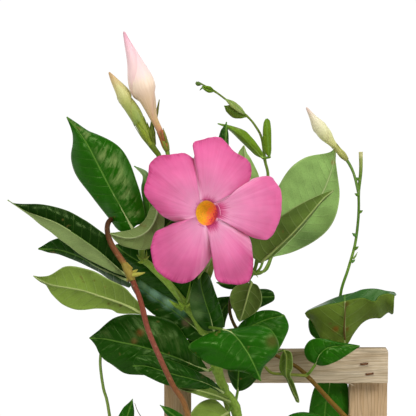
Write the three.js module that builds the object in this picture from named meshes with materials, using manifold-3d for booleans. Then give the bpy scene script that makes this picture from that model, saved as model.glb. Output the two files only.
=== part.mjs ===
// A mandevilla climbing a small ladder trellis in its pot, in millimetres, +Z up, front towards -Y.
// The origin is the centre of the pot's flat base.
import * as THREE from "three";
import { mergeVertices } from "three/addons/utils/BufferGeometryUtils.js";
import Module from "manifold-3d";

const wasm = await Module();
wasm.setup();

// Driving dimensions.
const SEAT_GAP = 0.3;
const POT_HEIGHT = 165;
const POT_RIM_RADIUS = 105;
const POT_BASE_RADIUS = 82;
const POT_WALL = 2.8;
const POT_SIDES = 36;
const RIM_BAND = 16;
const RIM_STEP = 3;
const SOIL_LEVEL = 150;
const SOIL_CROWN = 1.5;
const SOIL_SHOULDER = 8;
const ROOT_DEPTH = 55;
const HOLE_CLEARANCE = 0.6;
const HOLE_SIDES = 10;
const RAIL_HALF_LENGTH = 74.5;
const RAIL_HEIGHT = 21;
const LATH_THICKNESS = 11;
const RAILS = [
  { name: "top", top: 426, staples: [-8.1, -14.7] },
  { name: "middle", top: 322, staples: [-10] },
  { name: "low", top: 226, staples: [-10] },
];
const UPRIGHT_FOOT = 45;
const UPRIGHT_TOP = 424.5;
const LEFT_UPRIGHT_WIDTH = 18;
const RIGHT_UPRIGHT_WIDTH = 25;
const STAPLE_WIDTH = 6;
const STAPLE_WIRE = 1.2;
const STAPLE_LEG = 8;
const STAPLE_SHIFTS = [-3.3, 0.3];
const BLADE_THICKNESS = 0.8;
const BLADE_HALF_MIN = 0.7;
const BLADE_BULGE = 0.1;
const BLADE_WAVE = 0.07;
const BLADE_WAVE_COUNT = 2.2;
const BLADE_WAVE_OFFSET = 0.3;
const BLADE_FULLNESS = 0.75;
const FOLD_RUN = 0.18;
const TIP_START = 0.8;
const TIP_TAPER = 0.6;
const PETIOLE_RADIUS = 1.1;
const STALK_SIDES = 4;
const SMALL_STALK_SIDES = 3;
const STEM_SIDES = 6;
const BUD_SIDES = 10;
const PETAL_THICKNESS = 0.9;
const PETAL_DISH = 3;
const PETAL_FLARE = 6;
const PETAL_OVERLAP = 3.6;

// Leaf heads are laid out on a front elevation through AIM, square to the sight line from EYE.
// A point there has x and z in the part's own millimetres, and its depth y along the sight line.
const AIM = new THREE.Vector3(-44, 0, 521);
const EYE_DISTANCE = 900;
const EYE_ELEVATION = THREE.MathUtils.degToRad(6);
const SIGHT = new THREE.Vector3(0, Math.cos(EYE_ELEVATION), -Math.sin(EYE_ELEVATION));
const SIGHT_UP = new THREE.Vector3(0, Math.sin(EYE_ELEVATION), Math.cos(EYE_ELEVATION));
const EYE = AIM.clone().addScaledVector(SIGHT, -EYE_DISTANCE);

const GREEN = new THREE.MeshStandardMaterial({ color: 0x2c5e14, roughness: 0.42 });
const OLIVE = new THREE.MeshStandardMaterial({ color: 0x6d8432, roughness: 0.5 });
const RED_STEM = new THREE.MeshStandardMaterial({ color: 0x8f4a38, roughness: 0.55 });
const BROWN_STEM = new THREE.MeshStandardMaterial({ color: 0x8a6030, roughness: 0.6 });
const PINK = new THREE.MeshStandardMaterial({ color: 0xe0609c, roughness: 0.6 });
const YELLOW = new THREE.MeshStandardMaterial({ color: 0xe8981c, roughness: 0.6 });
const BUD_PINK = new THREE.MeshStandardMaterial({ color: 0xf3cfc6, roughness: 0.55 });
const BUD_YELLOW = new THREE.MeshStandardMaterial({ color: 0xb9bc62, roughness: 0.55 });
const BUD_CREAM = new THREE.MeshStandardMaterial({ color: 0xdcdcae, roughness: 0.55 });
const PINE = new THREE.MeshStandardMaterial({ color: 0xcbb28c, roughness: 0.8 });
const RUSTY_STEEL = new THREE.MeshStandardMaterial({ color: 0x6b4430, roughness: 0.6, metalness: 0.7 });
const POT_PLASTIC = new THREE.MeshStandardMaterial({ color: 0x8a4a30, roughness: 0.55 });
const PEAT = new THREE.MeshStandardMaterial({ color: 0x3a2a1c, roughness: 0.95 });

const root = new THREE.Group();

// ---- Solids ----

function addMesh(name, solid, material) {
  const mesh = solid.getMesh();
  const geometry = new THREE.BufferGeometry();
  geometry.setAttribute("position", new THREE.BufferAttribute(new Float32Array(mesh.vertProperties), 3));
  geometry.setIndex(new THREE.BufferAttribute(new Uint32Array(mesh.triVerts), 1));
  const node = new THREE.Mesh(geometry, material);
  node.name = name;
  root.add(node);
}

function manifoldOf(vertProperties, triVerts) {
  return new wasm.Manifold(new wasm.Mesh({ numProp: 3, vertProperties, triVerts }));
}

function solidFrom(points, triangles) {
  const places = points.flatMap((point) => [point.x, point.y, point.z]);
  return manifoldOf(new Float32Array(places), new Uint32Array(triangles));
}

function solidOf(geometry) {
  geometry.deleteAttribute("normal");
  geometry.deleteAttribute("uv");
  const merged = mergeVertices(geometry, 1e-4);
  return manifoldOf(new Float32Array(merged.attributes.position.array), new Uint32Array(merged.index.array));
}

// One body from many: what the joins leave loose is a scrap, and is dropped.
function join(solids) {
  const bodies = solids.reduce((whole, solid) => whole.add(solid)).decompose();
  return bodies.reduce((largest, body) => (body.volume() > largest.volume() ? body : largest));
}

function at(x, y, z) {
  return new THREE.Vector3(x, y, z);
}

function box(x0, x1, y0, y1, z0, z1) {
  const geometry = new THREE.BoxGeometry(x1 - x0, y1 - y0, z1 - z0);
  geometry.translate((x0 + x1) / 2, (y0 + y1) / 2, (z0 + z1) / 2);
  return solidOf(geometry);
}

function lathe(profile, segments) {
  const points = profile.map(([radius, height]) => new THREE.Vector2(radius, height));
  return new THREE.LatheGeometry(points, segments);
}

// A closed body through rings of points, each ring counter-clockwise as seen from the body's far end.
function loft(rings) {
  const sides = rings[0].length;
  const points = rings.flat();
  const triangles = [];
  for (let i = 0; i + 1 < rings.length; i += 1) {
    for (let j = 0; j < sides; j += 1) {
      const a = i * sides + j;
      const b = i * sides + ((j + 1) % sides);
      triangles.push(a, b, b + sides, a, b + sides, a + sides);
    }
  }
  const far = (rings.length - 1) * sides;
  for (let j = 1; j + 1 < sides; j += 1) {
    triangles.push(0, j + 1, j, far, far + j, far + j + 1);
  }
  return solidFrom(points, triangles);
}

function routeThrough(points) {
  return new THREE.CatmullRomCurve3(points, false, "catmullrom", 0.5);
}

// A round stem along points, its radius blended through the list of radii.
function stem(points, radii, sides) {
  const curve = routeThrough(points);
  const last = points.length - 1;
  let normal = at(1, 0, 0);
  const rings = points.map((centre, i) => {
    const place = (i / last) * (radii.length - 1);
    const k = Math.min(Math.floor(place), radii.length - 2);
    const radius = THREE.MathUtils.lerp(radii[k], radii[k + 1], place - k);
    const ahead = curve.getTangent(i / last);
    if (Math.abs(normal.dot(ahead)) > 0.98) normal = at(0, 0, 1);
    normal = normal.clone().addScaledVector(ahead, -normal.dot(ahead)).normalize();
    const binormal = ahead.clone().cross(normal);
    return Array.from({ length: sides }, (_, j) => {
      const angle = (2 * Math.PI * j) / sides;
      return centre.clone()
        .addScaledVector(normal, radius * Math.cos(angle))
        .addScaledVector(binormal, radius * Math.sin(angle));
    });
  });
  return loft(rings);
}

// A thin sheet of even thickness about a grid of points, split alike on both faces.
function sheet(grid, thickness) {
  const rows = grid.length;
  const cols = grid[0].length;
  const normals = grid.map((row) => row.map(() => new THREE.Vector3()));
  for (let i = 0; i + 1 < rows; i += 1) {
    for (let j = 0; j + 1 < cols; j += 1) {
      const diagonal = grid[i + 1][j + 1].clone().sub(grid[i][j]);
      const other = grid[i][j + 1].clone().sub(grid[i + 1][j]);
      const normal = diagonal.cross(other).normalize();
      for (const [k, l] of [[i, j], [i + 1, j], [i, j + 1], [i + 1, j + 1]]) {
        normals[k][l].add(normal);
      }
    }
  }
  const face = (side) => grid.flatMap((row, i) => row.map((point, j) =>
    point.clone().addScaledVector(normals[i][j].clone().normalize(), (side * thickness) / 2)));
  const points = [...face(1), ...face(-1)];
  const under = rows * cols;
  const triangles = [];
  for (let i = 0; i + 1 < rows; i += 1) {
    for (let j = 0; j + 1 < cols; j += 1) {
      const a = i * cols + j;
      const b = a + cols;
      triangles.push(a, b, b + 1, a, b + 1, a + 1);
      triangles.push(under + a, under + b + 1, under + b, under + a, under + a + 1, under + b + 1);
    }
  }
  const edge = [];
  for (let i = 0; i < rows - 1; i += 1) edge.push(i * cols);
  for (let j = 0; j < cols - 1; j += 1) edge.push((rows - 1) * cols + j);
  for (let i = rows - 1; i > 0; i -= 1) edge.push(i * cols + cols - 1);
  for (let j = cols - 1; j > 0; j -= 1) edge.push(j);
  edge.forEach((a, k) => {
    const b = edge[(k + 1) % edge.length];
    triangles.push(a, under + a, under + b, a, under + b, b);
  });
  return solidFrom(points, triangles);
}

// ---- Leaves ----

function seen([x, z, y]) {
  const onElevation = AIM.clone()
    .add(at(x - AIM.x, 0, 0))
    .addScaledVector(SIGHT_UP, z - AIM.z);
  const reach = (y - EYE.y) / (onElevation.y - EYE.y);
  return EYE.clone().lerp(onElevation, reach);
}

function smooth(value) {
  return THREE.MathUtils.smoothstep(value, 0, 1);
}

function swell(t, peak) {
  const bend = Math.log(0.5) / Math.log(peak);
  const full = Math.max(0, Math.sin(Math.PI * t ** bend)) ** BLADE_FULLNESS;
  return full * (1 - TIP_TAPER * smooth((t - TIP_START) / (1 - TIP_START)));
}

// The point of a blade at t along its midrib and s across it, from -1 at the clockwise margin to 1
// at the counter-clockwise one. Each half is [width, fall, peak, back]: its reach across, how far
// its margin falls away from the side it faces, where it is widest, and how far its lobe runs back.
function bladePoint(leaf, curve, t, s) {
  const spine = curve.getPoint(t);
  const ahead = curve.getTangent(t);
  const facing = leaf.rising ? at(0, 0, 1) : at(0, -1, 0);
  const across = facing.clone().cross(ahead).normalize();
  const [width, fall, peak = 0.5, back = 0] = s >= 0 ? leaf.ccw : leaf.cw;
  const side = s >= 0 ? 1 : -1;
  const size = Math.hypot(width, fall) * swell(t, peak);
  const turn = Math.atan2(fall, width) * smooth(Math.min(t, 1 - t) / FOLD_RUN);
  const reach = Math.abs(s) * Math.max(BLADE_HALF_MIN, size);
  const bulge = BLADE_BULGE * size * Math.sin(Math.PI * Math.abs(s));
  const phase = BLADE_WAVE_COUNT * t + BLADE_WAVE_OFFSET * side;
  const wave = BLADE_WAVE * size * s * s * Math.sin(2 * Math.PI * phase);
  const lift = (leaf.face ?? 1) * (bulge + wave);
  return spine
    .addScaledVector(across, side * (Math.cos(turn) * reach + Math.sin(turn) * lift))
    .addScaledVector(facing, Math.cos(turn) * lift - Math.sin(turn) * reach)
    .addScaledVector(ahead, -back * Math.abs(s) * swell(t, peak) * (1 - t));
}

const FULL_ROWS = [0, 0.11, 0.28, 0.47, 0.66, 0.85, 1];
const FULL_COLUMNS = [-1, -0.5, 0, 0.5, 1];
const PLAIN_ROWS = [0, 0.2, 0.48, 0.78, 1];
const PLAIN_COLUMNS = [-1, 0, 1];

function blade(leaf, rows, columns) {
  const curve = routeThrough(leaf.rib.map(([x, z, y]) => at(x, y, z)));
  const grid = rows.map((t) => columns.map((s) => {
    const point = bladePoint(leaf, curve, t, s);
    return leaf.rising ? point : seen([point.x, point.z, point.y]);
  }));
  return sheet(grid, BLADE_THICKNESS);
}

function nearestOn(points, target) {
  const stops = points.slice(1).map((end, i) =>
    new THREE.Line3(points[i], end).closestPointToPoint(target, true, new THREE.Vector3()));
  return stops.reduce((best, stop) => (stop.distanceTo(target) < best.distanceTo(target) ? stop : best));
}

// A leaf with its stalk, which springs from the stem and runs on a little under the midrib.
function leafOn(stemPoints, leaf) {
  const small = leaf.rising || leaf.small;
  const rows = small ? PLAIN_ROWS : FULL_ROWS;
  const columns = small ? PLAIN_COLUMNS : FULL_COLUMNS;
  const place = ([x, z, y]) => (leaf.rising ? at(x, y, z) : seen([x, z, y]));
  const rib = leaf.rib.map(place);
  const base = rib[0];
  const inner = base.clone().lerp(rib[1], 0.3);
  const via = (leaf.via ?? []).map(seen);
  const foot = leaf.from ? seen(leaf.from) : nearestOn(stemPoints, via[0] ?? base);
  const radius = leaf.stalk ?? PETIOLE_RADIUS;
  const sides = small ? SMALL_STALK_SIDES : STALK_SIDES;
  const stalk = stem([foot, ...via, base, inner], [radius, radius, radius * 0.6], sides);
  return blade(leaf, rows, columns).add(stalk);
}

// ---- Vines, each from its root in the soil to its tip ----

function rootRoute({ x, y }) {
  return [at(x, y, SOIL_LEVEL - ROOT_DEPTH + SEAT_GAP), at(x, y, SOIL_LEVEL + 3)];
}

const GREEN_ROOT = { x: -14, y: -30, radius: 4.2 };
const RED_ROOT = { x: -44, y: -40, radius: 3 };
const BROWN_ROOT = { x: 42, y: -24, radius: 4 };
const RIGHT_ROOT = { x: 34, y: 34, radius: 3 };
const THIN_ROOT = { x: -70, y: -30, radius: 1.6 };
const BACK_ROOT = { x: -26, y: 44, radius: 3 };
const ROOTS = [GREEN_ROOT, RED_ROOT, BROWN_ROOT, RIGHT_ROOT, THIN_ROOT, BACK_ROOT];

const GREEN_VINE = [
  ...rootRoute(GREEN_ROOT), at(-26, -33, 195), at(-12, -36, 245), at(-30, -38, 295), at(-22, -38, 340),
  ...[
    [-25, 386, -34], [-33, 401, -35], [-38, 416, -36], [-43, 431, -38], [-50, 446, -40], [-57, 456, -42],
    [-69, 471, -46], [-81, 483, -50], [-87, 490, -52], [-85, 506, -51], [-79, 524, -50], [-73, 540, -48],
    [-68, 553, -46],
  ].map(seen),
];

const RED_VINE = [
  ...rootRoute(RED_ROOT), at(-52, -46, 195), at(-40, -56, 245), at(-48, -66, 295), at(-46, -74, 340),
  ...[
    [-57, 386, -79], [-67, 406, -80], [-75, 423, -82], [-83, 442, -83], [-88, 461, -80], [-94, 476, -72],
    [-98, 484, -66], [-107, 497, -58], [-109.5, 507, -54], [-108, 513, -49], [-104, 514, -45],
    [-100, 511, -42],
  ].map(seen),
];

const BROWN_VINE = [
  ...rootRoute(BROWN_ROOT), at(50, -27, 200), at(40, -24, 260), at(52, -22, 320),
  ...[
    [45, 386, -15], [35, 396, -14], [25, 407, -14], [16, 416, -14], [8, 421, -17], [-3, 427, -23],
    [-14, 433, -28], [-25, 442, -31], [-30, 455, -32], [-27, 467, -33], [-19, 473, -34], [-13, 483, -34],
    [-11, 500, -33], [-8, 522, -32], [-5, 541, -31], [-7, 552, -30], [-9, 566, -29], [-13, 574, -29],
    [-19, 581, -29], [-33, 592, -30], [-40, 597, -32], [-49, 602, -34],
  ].map(seen),
];

const RIGHT_VINE = [
  ...rootRoute(RIGHT_ROOT), at(26, 36, 200), at(36, 33, 260), at(30, 34, 330),
  ...[
    [36, 386, 28], [39, 410, 25], [41, 436, 19], [42, 464, 8], [47, 481, 3], [51.5, 497, 1],
    [53.5, 512, 0], [54, 522, 0], [54, 532, 0], [55.3, 545, 0], [55.3, 557.5, 0],
  ].map(seen),
];

const THIN_VINE = [
  ...rootRoute(THIN_ROOT), at(-84, -36, 200), at(-92, -40, 260), at(-98, -42, 320),
  ...[[-108, 386, -40], [-112, 404, -41], [-114, 419, -43], [-113.5, 429, -44]].map(seen),
];

const BACK_VINE = [
  ...rootRoute(BACK_ROOT), at(-36, 45, 200), at(-22, 44, 260), at(-34, 42, 320), at(-30, 40, 372),
  at(-40, 36, 405),
];

const GREEN_LEAVES = [
  // Great dark leaf at the upper left.
  {
    rib: [[-94, 508, -58], [-104, 530, -52], [-119, 556, -46], [-135, 580, -40]],
    ccw: [15, 4], cw: [18, -6, 0.43],
  },
  // Narrow leaf tip between it and the bloom.
  { rib: [[-80, 512, -53], [-83, 526, -51], [-92, 548, -48]], ccw: [5, 2], cw: [5, 3], small: true },
  // Grey-green leaf seen from below, curving left from behind the bloom.
  {
    rib: [[-77, 524, -58], [-82, 510, -63], [-91, 502, -66], [-107, 503.5, -63]],
    ccw: [7, 1], cw: [6, 2], face: -1,
  },
  // Two dark leaves behind the red stem.
  {
    rib: [[-58, 458, -43], [-70, 475, -40], [-84, 488, -37], [-104, 499, -33]],
    ccw: [10, 4], cw: [9, 3],
  },
  {
    rib: [[-48, 430, -42], [-66, 449, -36], [-82, 464, -34], [-95, 477, -34]],
    ccw: [9, -3], cw: [14, 5, 0.4], from: [-38, 416, -36], small: true,
  },
  // Folded leaf rising in the centre.
  {
    rib: [[-41, 437, -48], [-42, 446, -54], [-44, 460, -58], [-46, 479, -60]],
    ccw: [14, -5], cw: [7, 6],
  },
  // Broad bright leaf at the front, its lobe running back past its stalk.
  {
    rib: [[-34, 441, -66], [-25, 437, -73], [-18, 427, -78], [-10, 410, -74]],
    ccw: [18, 6, 0.46, -11], cw: [33, 5, 0.38, 24],
  },
  // Broad dark leaf at the lower left, and the one in front of it.
  {
    rib: [[-41, 409, -42], [-56, 421, -48], [-82, 429, -52], [-121, 436.5, -54]],
    ccw: [23, -1, 0.78], cw: [22, 6, 0.66],
  },
  {
    rib: [[-37, 404, -46], [-53, 409, -60], [-69, 414.5, -66], [-92, 420, -64]],
    ccw: [9, -4], cw: [9, 3],
  },
  // Pale undersides below it.
  {
    rib: [[-30, 395, -44], [-40, 399.5, -56], [-53, 403, -58], [-68, 406, -56]],
    ccw: [4, -3], cw: [5, 4], face: -1, small: true,
  },
  {
    rib: [[-31, 388, -44], [-37, 384, -52], [-46, 375, -57], [-59, 360, -56]],
    ccw: [13, 2], cw: [16, -2, 0.36], face: -1,
  },
  // Upright dark leaf behind the bright one.
  {
    rib: [[-24.7, 402, -17], [-24, 415, -16], [-22, 426, -17], [-21, 438, -19]],
    ccw: [8, 3], cw: [13, 2, 0.4], from: [-27, 390, -34], small: true,
  },
];

const RED_LEAVES = [
  // Long leaf folded along its midrib, the near half showing its pale underside.
  {
    rib: [[-98, 477, -72], [-121, 487, -68], [-147, 507, -60], [-174, 526, -50]],
    ccw: [-7, -9], cw: [18, 10],
  },
  // Dark leaf behind it.
  {
    rib: [[-97, 475, -68], [-112, 482, -50], [-130, 490, -40], [-154, 494, -34]],
    ccw: [3.5, 2], cw: [8, 4],
  },
  // Broad leaf seen from below.
  {
    rib: [[-86, 454, -80], [-108, 462, -77], [-130, 469, -73], [-157, 477, -66]],
    ccw: [12, 3, 0.6], cw: [14, -3, 0.6], face: -1,
  },
  // Small tip below it, over the left upright.
  { rib: [[-52, 374, -72], [-62, 383, -69], [-75.4, 393, -66]], ccw: [3, 1], cw: [3.5, 1], small: true },
];

const BROWN_LEAVES = [
  // Dark leaf behind the bright front one, its tip turned up.
  {
    rib: [[-20, 439, -36], [-9, 445, -40], [-2, 449, -40], [5, 452.5, -36]],
    ccw: [8, 2], cw: [18, -4, 0.66],
  },
  // Round leaf seen from below, and the dark ones behind it.
  {
    rib: [[-17, 472, -40], [-18, 462, -46], [-19, 454, -48], [-21, 447, -46]],
    ccw: [9, -2], cw: [9, 3], face: -1,
  },
  { rib: [[-22, 464, -30], [-14, 463.5, -25], [-1, 463, -22]], ccw: [5, 2], cw: [8, 2], small: true },
  { rib: [[-31, 461, -28], [-34.5, 454, -25], [-34, 443, -24]], ccw: [4, 1], cw: [6, 2], small: true },
  // Great pale underside at the right, and the folded olive leaf in front of it.
  {
    rib: [[-3, 490, -26], [14, 504, -16], [30, 526, -6], [40, 561, 2]],
    ccw: [29, 5, 0.68], cw: [12, -4, 0.6], face: -1, via: [[-12, 479, -32], [-6, 481, -30]],
  },
  {
    rib: [[-10, 484, -38], [5, 502, -42], [20, 518, -40], [37, 532, -34]],
    ccw: [14, -5, 0.36], cw: [4.5, 4], face: -1,
  },
  // Young pair of leaves at the upper joint.
  {
    rib: [[-10, 554, -33], [-20, 563, -38], [-29, 571, -40], [-37, 576, -38]],
    ccw: [1, 4], cw: [5.5, 3],
  },
  {
    rib: [[-3.8, 556, -31], [-4.8, 564, -33], [-5, 573, -34], [-5.5, 579, -33]],
    ccw: [2.7, 1], cw: [2.7, 1], via: [[-4, 554, -30]], stalk: 0.8, small: true,
  },
  // Folded young leaves near the growing tip.
  {
    rib: [[-20, 582, -30], [-26, 587, -34], [-33, 592, -35]],
    ccw: [3, -3], cw: [2, 2], small: true, stalk: 0.8,
  },
  {
    rib: [[-20, 580, -29], [-27, 583, -35], [-34, 588, -37]],
    ccw: [3, 2], cw: [3.5, -1], small: true, stalk: 0.8,
  },
  {
    rib: [[-40, 597, -32], [-43, 598, -35], [-48, 600, -36]],
    ccw: [2, 1], cw: [2, -1], small: true, stalk: 0.7,
  },
  // Leaves whose tips show above the bloom.
  {
    rib: [[-31, 546, -50], [-32.5, 561, -48], [-32, 577, -43]],
    ccw: [5, 2], cw: [2, 1], small: true, from: [-8, 522, -32],
  },
  {
    rib: [[-17, 526, -44], [-14.5, 545, -44], [-20, 561, -42]],
    ccw: [4, 2], cw: [4, 2], face: -1, small: true, from: [-11, 500, -33],
  },
  // Folded leaf hanging over the rail.
  {
    rib: [[6, 427, -30], [6, 419, -34], [9, 408, -36], [14.5, 394, -34]],
    ccw: [3.6, -2, 0.36], cw: [3.6, 3, 0.36], face: -1,
  },
  // Heart-shaped leaf on the rail.
  {
    rib: [[27, 422, -19], [32, 427, -22], [42, 430, -24], [54, 431, -21]],
    ccw: [12, 2, 0.32, 11], cw: [7, -2, 0.36, 3], via: [[22, 414, -17]],
  },
  // Leaf below the rail, its edge level with the eye.
  {
    rib: [[38, 374, -30], [27, 380, -35], [13, 381, -37], [0, 374, -35]],
    ccw: [6, 3], cw: [7, 3], small: true,
  },
];

const RIGHT_LEAVES = [
  // Great leaf standing up and folding away over its middle.
  {
    rib: [[47, 433, 8], [46, 446, -5], [44.5, 459, -13], [43, 466, 14]],
    ccw: [26, 2, 0.52], cw: [33, 0, 0.48, -2], face: -1,
  },
  { rib: [[33, 434, 12], [26, 442, 8], [23, 452, 6]], ccw: [4, 2], cw: [5, 2], small: true },
  // Dark leaf hanging behind the rail.
  {
    rib: [[36, 409, 19], [34, 396, 17], [32, 380, 16], [31, 352, 18]],
    ccw: [10.5, 2, 0.4], cw: [13, 2, 0.4],
  },
];

const THIN_LEAVES = [
  { rib: [[-100, 360, -46], [-100, 372, -50], [-97, 384, -52], [-93, 397, -50]], ccw: [6, 2], cw: [5, 3] },
];

// Lower leaves stand in pairs at joints up the stem, on either side of a heading in degrees.
const SEED = 41;
const LOWER_JOINTS = [
  { vine: "green", z: [212, 268, 322], heading: -78, spread: 18 },
  { vine: "red", z: [200, 252, 304], heading: -128, spread: 22 },
  { vine: "brown", z: [204, 256, 308, 352], heading: -22, spread: 30 },
  { vine: "right", z: [212, 264, 318], heading: 52, spread: 30 },
  { vine: "thin", z: [232, 290], heading: 172, spread: 24 },
  { vine: "back", z: [210, 272, 336], heading: 118, spread: 30 },
];
const LOWER_LENGTH = [58, 76];
const LOWER_WIDTH = 0.25;
const LOWER_STALK = 16;

let draw = SEED;
function random(low, high) {
  draw = (draw * 16807) % 2147483647;
  return low + ((high - low) * draw) / 2147483647;
}

function lowerLeaves(stemPoints, { z, heading, spread }) {
  const leaves = [];
  for (const height of z) {
    const joint = nearestOn(stemPoints, at(stemPoints[3].x, stemPoints[3].y, height));
    for (const side of [-1, 1]) {
      const angle = THREE.MathUtils.degToRad(heading + side * spread + random(-8, 8));
      const length = random(...LOWER_LENGTH);
      const rise = random(4, 14);
      const droop = random(6, 22);
      const along = (reach, up) => [
        joint.x + Math.cos(angle) * reach,
        joint.z + up,
        joint.y + Math.sin(angle) * reach,
      ];
      leaves.push({
        rib: [
          along(LOWER_STALK, rise),
          along(LOWER_STALK + 0.4 * length, rise + 7),
          along(LOWER_STALK + 0.75 * length, rise + 1),
          along(LOWER_STALK + 0.98 * length, rise - droop),
        ],
        ccw: [LOWER_WIDTH * length, -2],
        cw: [LOWER_WIDTH * length, -2],
        rising: true,
      });
    }
  }
  return leaves;
}

const PINK_PEDICEL = [[-72, 545, -47], [-70, 555, -47], [-72.5, 564, -46]];
const YELLOW_PEDICEL = [[-74, 538, -49], [-76, 554, -48], [-81, 562, -47], [-87.7, 574.5, -44]];
const BLOOM_PEDICEL = [[-80, 520, -50], [-68, 522, -42], [-56, 519, -38], [-51.5, 517.5, -44]];
const CREAM_PEDICEL = [[54, 530, 0], [50.7, 544, -2], [45.5, 553.5, -4], [40.5, 559, -5]];
const SIDE_STALK = [[20, 412, -16], [4, 413, -29], [-3, 414, -29], [-7, 418, -29]];
const BRACT = [[-76, 556, -48], [-79, 565, -45], [-81, 577, -43]];
const CUT_STUB = [[-95, 477, -73], [-89, 478, -76], [-85, 479, -77]];

function spray(route, radii) {
  return stem(route.map(seen), radii, STEM_SIDES);
}

function addVine(key, points, radii, leaves, sprays, material) {
  const lower = lowerLeaves(points, LOWER_JOINTS.find(({ vine }) => vine === key));
  const blades = [...leaves, ...lower].map((leaf) => leafOn(points, leaf));
  addMesh(`vine_${key}`, join([stem(points, radii, STEM_SIDES), ...blades, ...sprays]), material);
}

function buildVines() {
  addVine("green", GREEN_VINE, [GREEN_ROOT.radius, 3.6, 3.2, 3, 2.2, 1.9, 1.5], GREEN_LEAVES, [
    spray(PINK_PEDICEL, [1.3, 1.5, 2.3]),
    spray(YELLOW_PEDICEL, [1.3, 1.5, 2, 2.7]),
    spray(BRACT, [0.8, 1.7, 0.5]),
    spray(BLOOM_PEDICEL, [1.3, 1.3, 1.6, 2.6]),
  ], GREEN);
  addVine("red", RED_VINE, [RED_ROOT.radius, 2.6, 2.2, 2, 1.8, 2, 1.5, 1.3], RED_LEAVES, [
    spray(CUT_STUB, [1.6, 1.1, 0.5]),
  ], RED_STEM);
  addVine("brown", BROWN_VINE, [BROWN_ROOT.radius, 3.2, 2.6, 2.4, 1.8, 1.6, 1.4, 1.2, 1, 0.9], BROWN_LEAVES, [
    spray(SIDE_STALK, [1.1, 1, 0.9]),
  ], BROWN_STEM);
  addVine("right", RIGHT_VINE, [RIGHT_ROOT.radius, 2.4, 1.9, 1.5, 1.3, 1.1, 1.2], RIGHT_LEAVES, [
    spray(CREAM_PEDICEL, [1, 0.9, 1.2, 1.6]),
  ], OLIVE);
  addVine("thin", THIN_VINE, [THIN_ROOT.radius, 1.3, 1, 0.9], THIN_LEAVES, [], OLIVE);
  addVine("back", BACK_VINE, [BACK_ROOT.radius, 2.4, 2, 1.4], [], [], GREEN);
}

// ---- Bloom and buds ----

const THROAT = [-45, 517.7, -79];
const BLOOM_FACING = new THREE.Vector3(0.2, -0.97, 0.1).normalize();
const RIM_RADIUS = 8.2;
const RIM_NARROWING = 0.86;
const TUBE_LENGTH = 34;
const THROAT_SIDES = 15;
const PETAL_ROWS = [0, 0.2, 0.47, 0.76, 1];

// Outer margins of the five petals from the throat's centre, counter-clockwise edge first.
// Each springs from the throat's rim between its two angles.
const PETALS = [
  {
    from: 194, to: 124,
    margin: [[-15, -4], [-27, -2.5], [-36, 5], [-41, 14], [-38, 29], [-28, 38.5], [-15, 38.5], [-9, 35]],
  },
  {
    from: 122, to: 52,
    margin: [[-8, 29], [-8.5, 41], [-8.5, 47], [-2, 48], [7, 49.5], [14, 42], [25, 36], [29, 27], [23, 16]],
  },
  {
    from: 50, to: -20,
    margin: [
      [20, 14.5], [29, 21], [41, 23.5], [48, 16], [49.5, 4], [48, -5], [43, -15], [32, -17.5], [19, -9],
    ],
  },
  {
    from: -22, to: -92,
    margin: [[19, -9], [26, -18], [30.5, -30], [29.5, -40], [23, -46], [12, -45.5], [6, -38], [5, -24]],
  },
  {
    from: -94, to: -164,
    margin: [[5, -18], [3, -30], [-8, -41.5], [-18, -46], [-31, -39], [-36.5, -24], [-31, -11.5], [-16, -5]],
  },
];

function petalPoint(petal, u, a) {
  const outer = routeThrough(petal.margin.map(([x, z]) => at(x, 0, z))).getPoint(a);
  const angle = THREE.MathUtils.degToRad(THREE.MathUtils.lerp(petal.from, petal.to, a));
  const x = THREE.MathUtils.lerp(RIM_RADIUS * RIM_NARROWING * Math.cos(angle), outer.x, u);
  const z = THREE.MathUtils.lerp(RIM_RADIUS * Math.sin(angle), outer.z, u);
  const tilt = -(BLOOM_FACING.x * x + BLOOM_FACING.z * z) / BLOOM_FACING.y;
  const flare = PETAL_FLARE * u * u - PETAL_DISH * Math.sin(Math.PI * Math.min(1, 1.1 * u));
  const overlap = PETAL_OVERLAP * (1 - 2 * a) * Math.sin((Math.PI / 2) * Math.min(1, 2.2 * u));
  return seen([THROAT[0] + x, THROAT[1] + z, THROAT[2] + tilt + flare + overlap]);
}

function buildBloom() {
  const centre = seen(THROAT);
  const turn = new THREE.Quaternion().setFromUnitVectors(at(0, 1, 0), BLOOM_FACING);
  const turned = (profile) => {
    const geometry = lathe(profile, THROAT_SIDES).applyQuaternion(turn);
    return solidOf(geometry.translate(centre.x, centre.y, centre.z));
  };
  const tube = turned([
    [0, -TUBE_LENGTH], [2.6, -TUBE_LENGTH], [3, -22], [6.5, -14], [8.9, -3], [9.3, 0.8],
    [8.1, 0.8], [7.7, -3], [5.4, -13], [2, -14], [0, -14],
  ]);
  const petals = PETALS.map((petal) => {
    const steps = petal.margin.map((_, j) => j / (petal.margin.length - 1));
    return sheet(PETAL_ROWS.map((u) => steps.map((a) => petalPoint(petal, u, a))), PETAL_THICKNESS);
  });
  addMesh("bloom_petals", join([tube, ...petals]), PINK);
  addMesh("bloom_throat", turned([
    [0, -13.6], [4.9, -12.6], [7.2, -3.4], [6.3, -3.4], [4, -11.4], [0, -12.4],
  ]), YELLOW);
}

function buildBud(name, route, radii, material) {
  addMesh(name, stem(route.map(seen), radii, BUD_SIDES), material);
}

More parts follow.
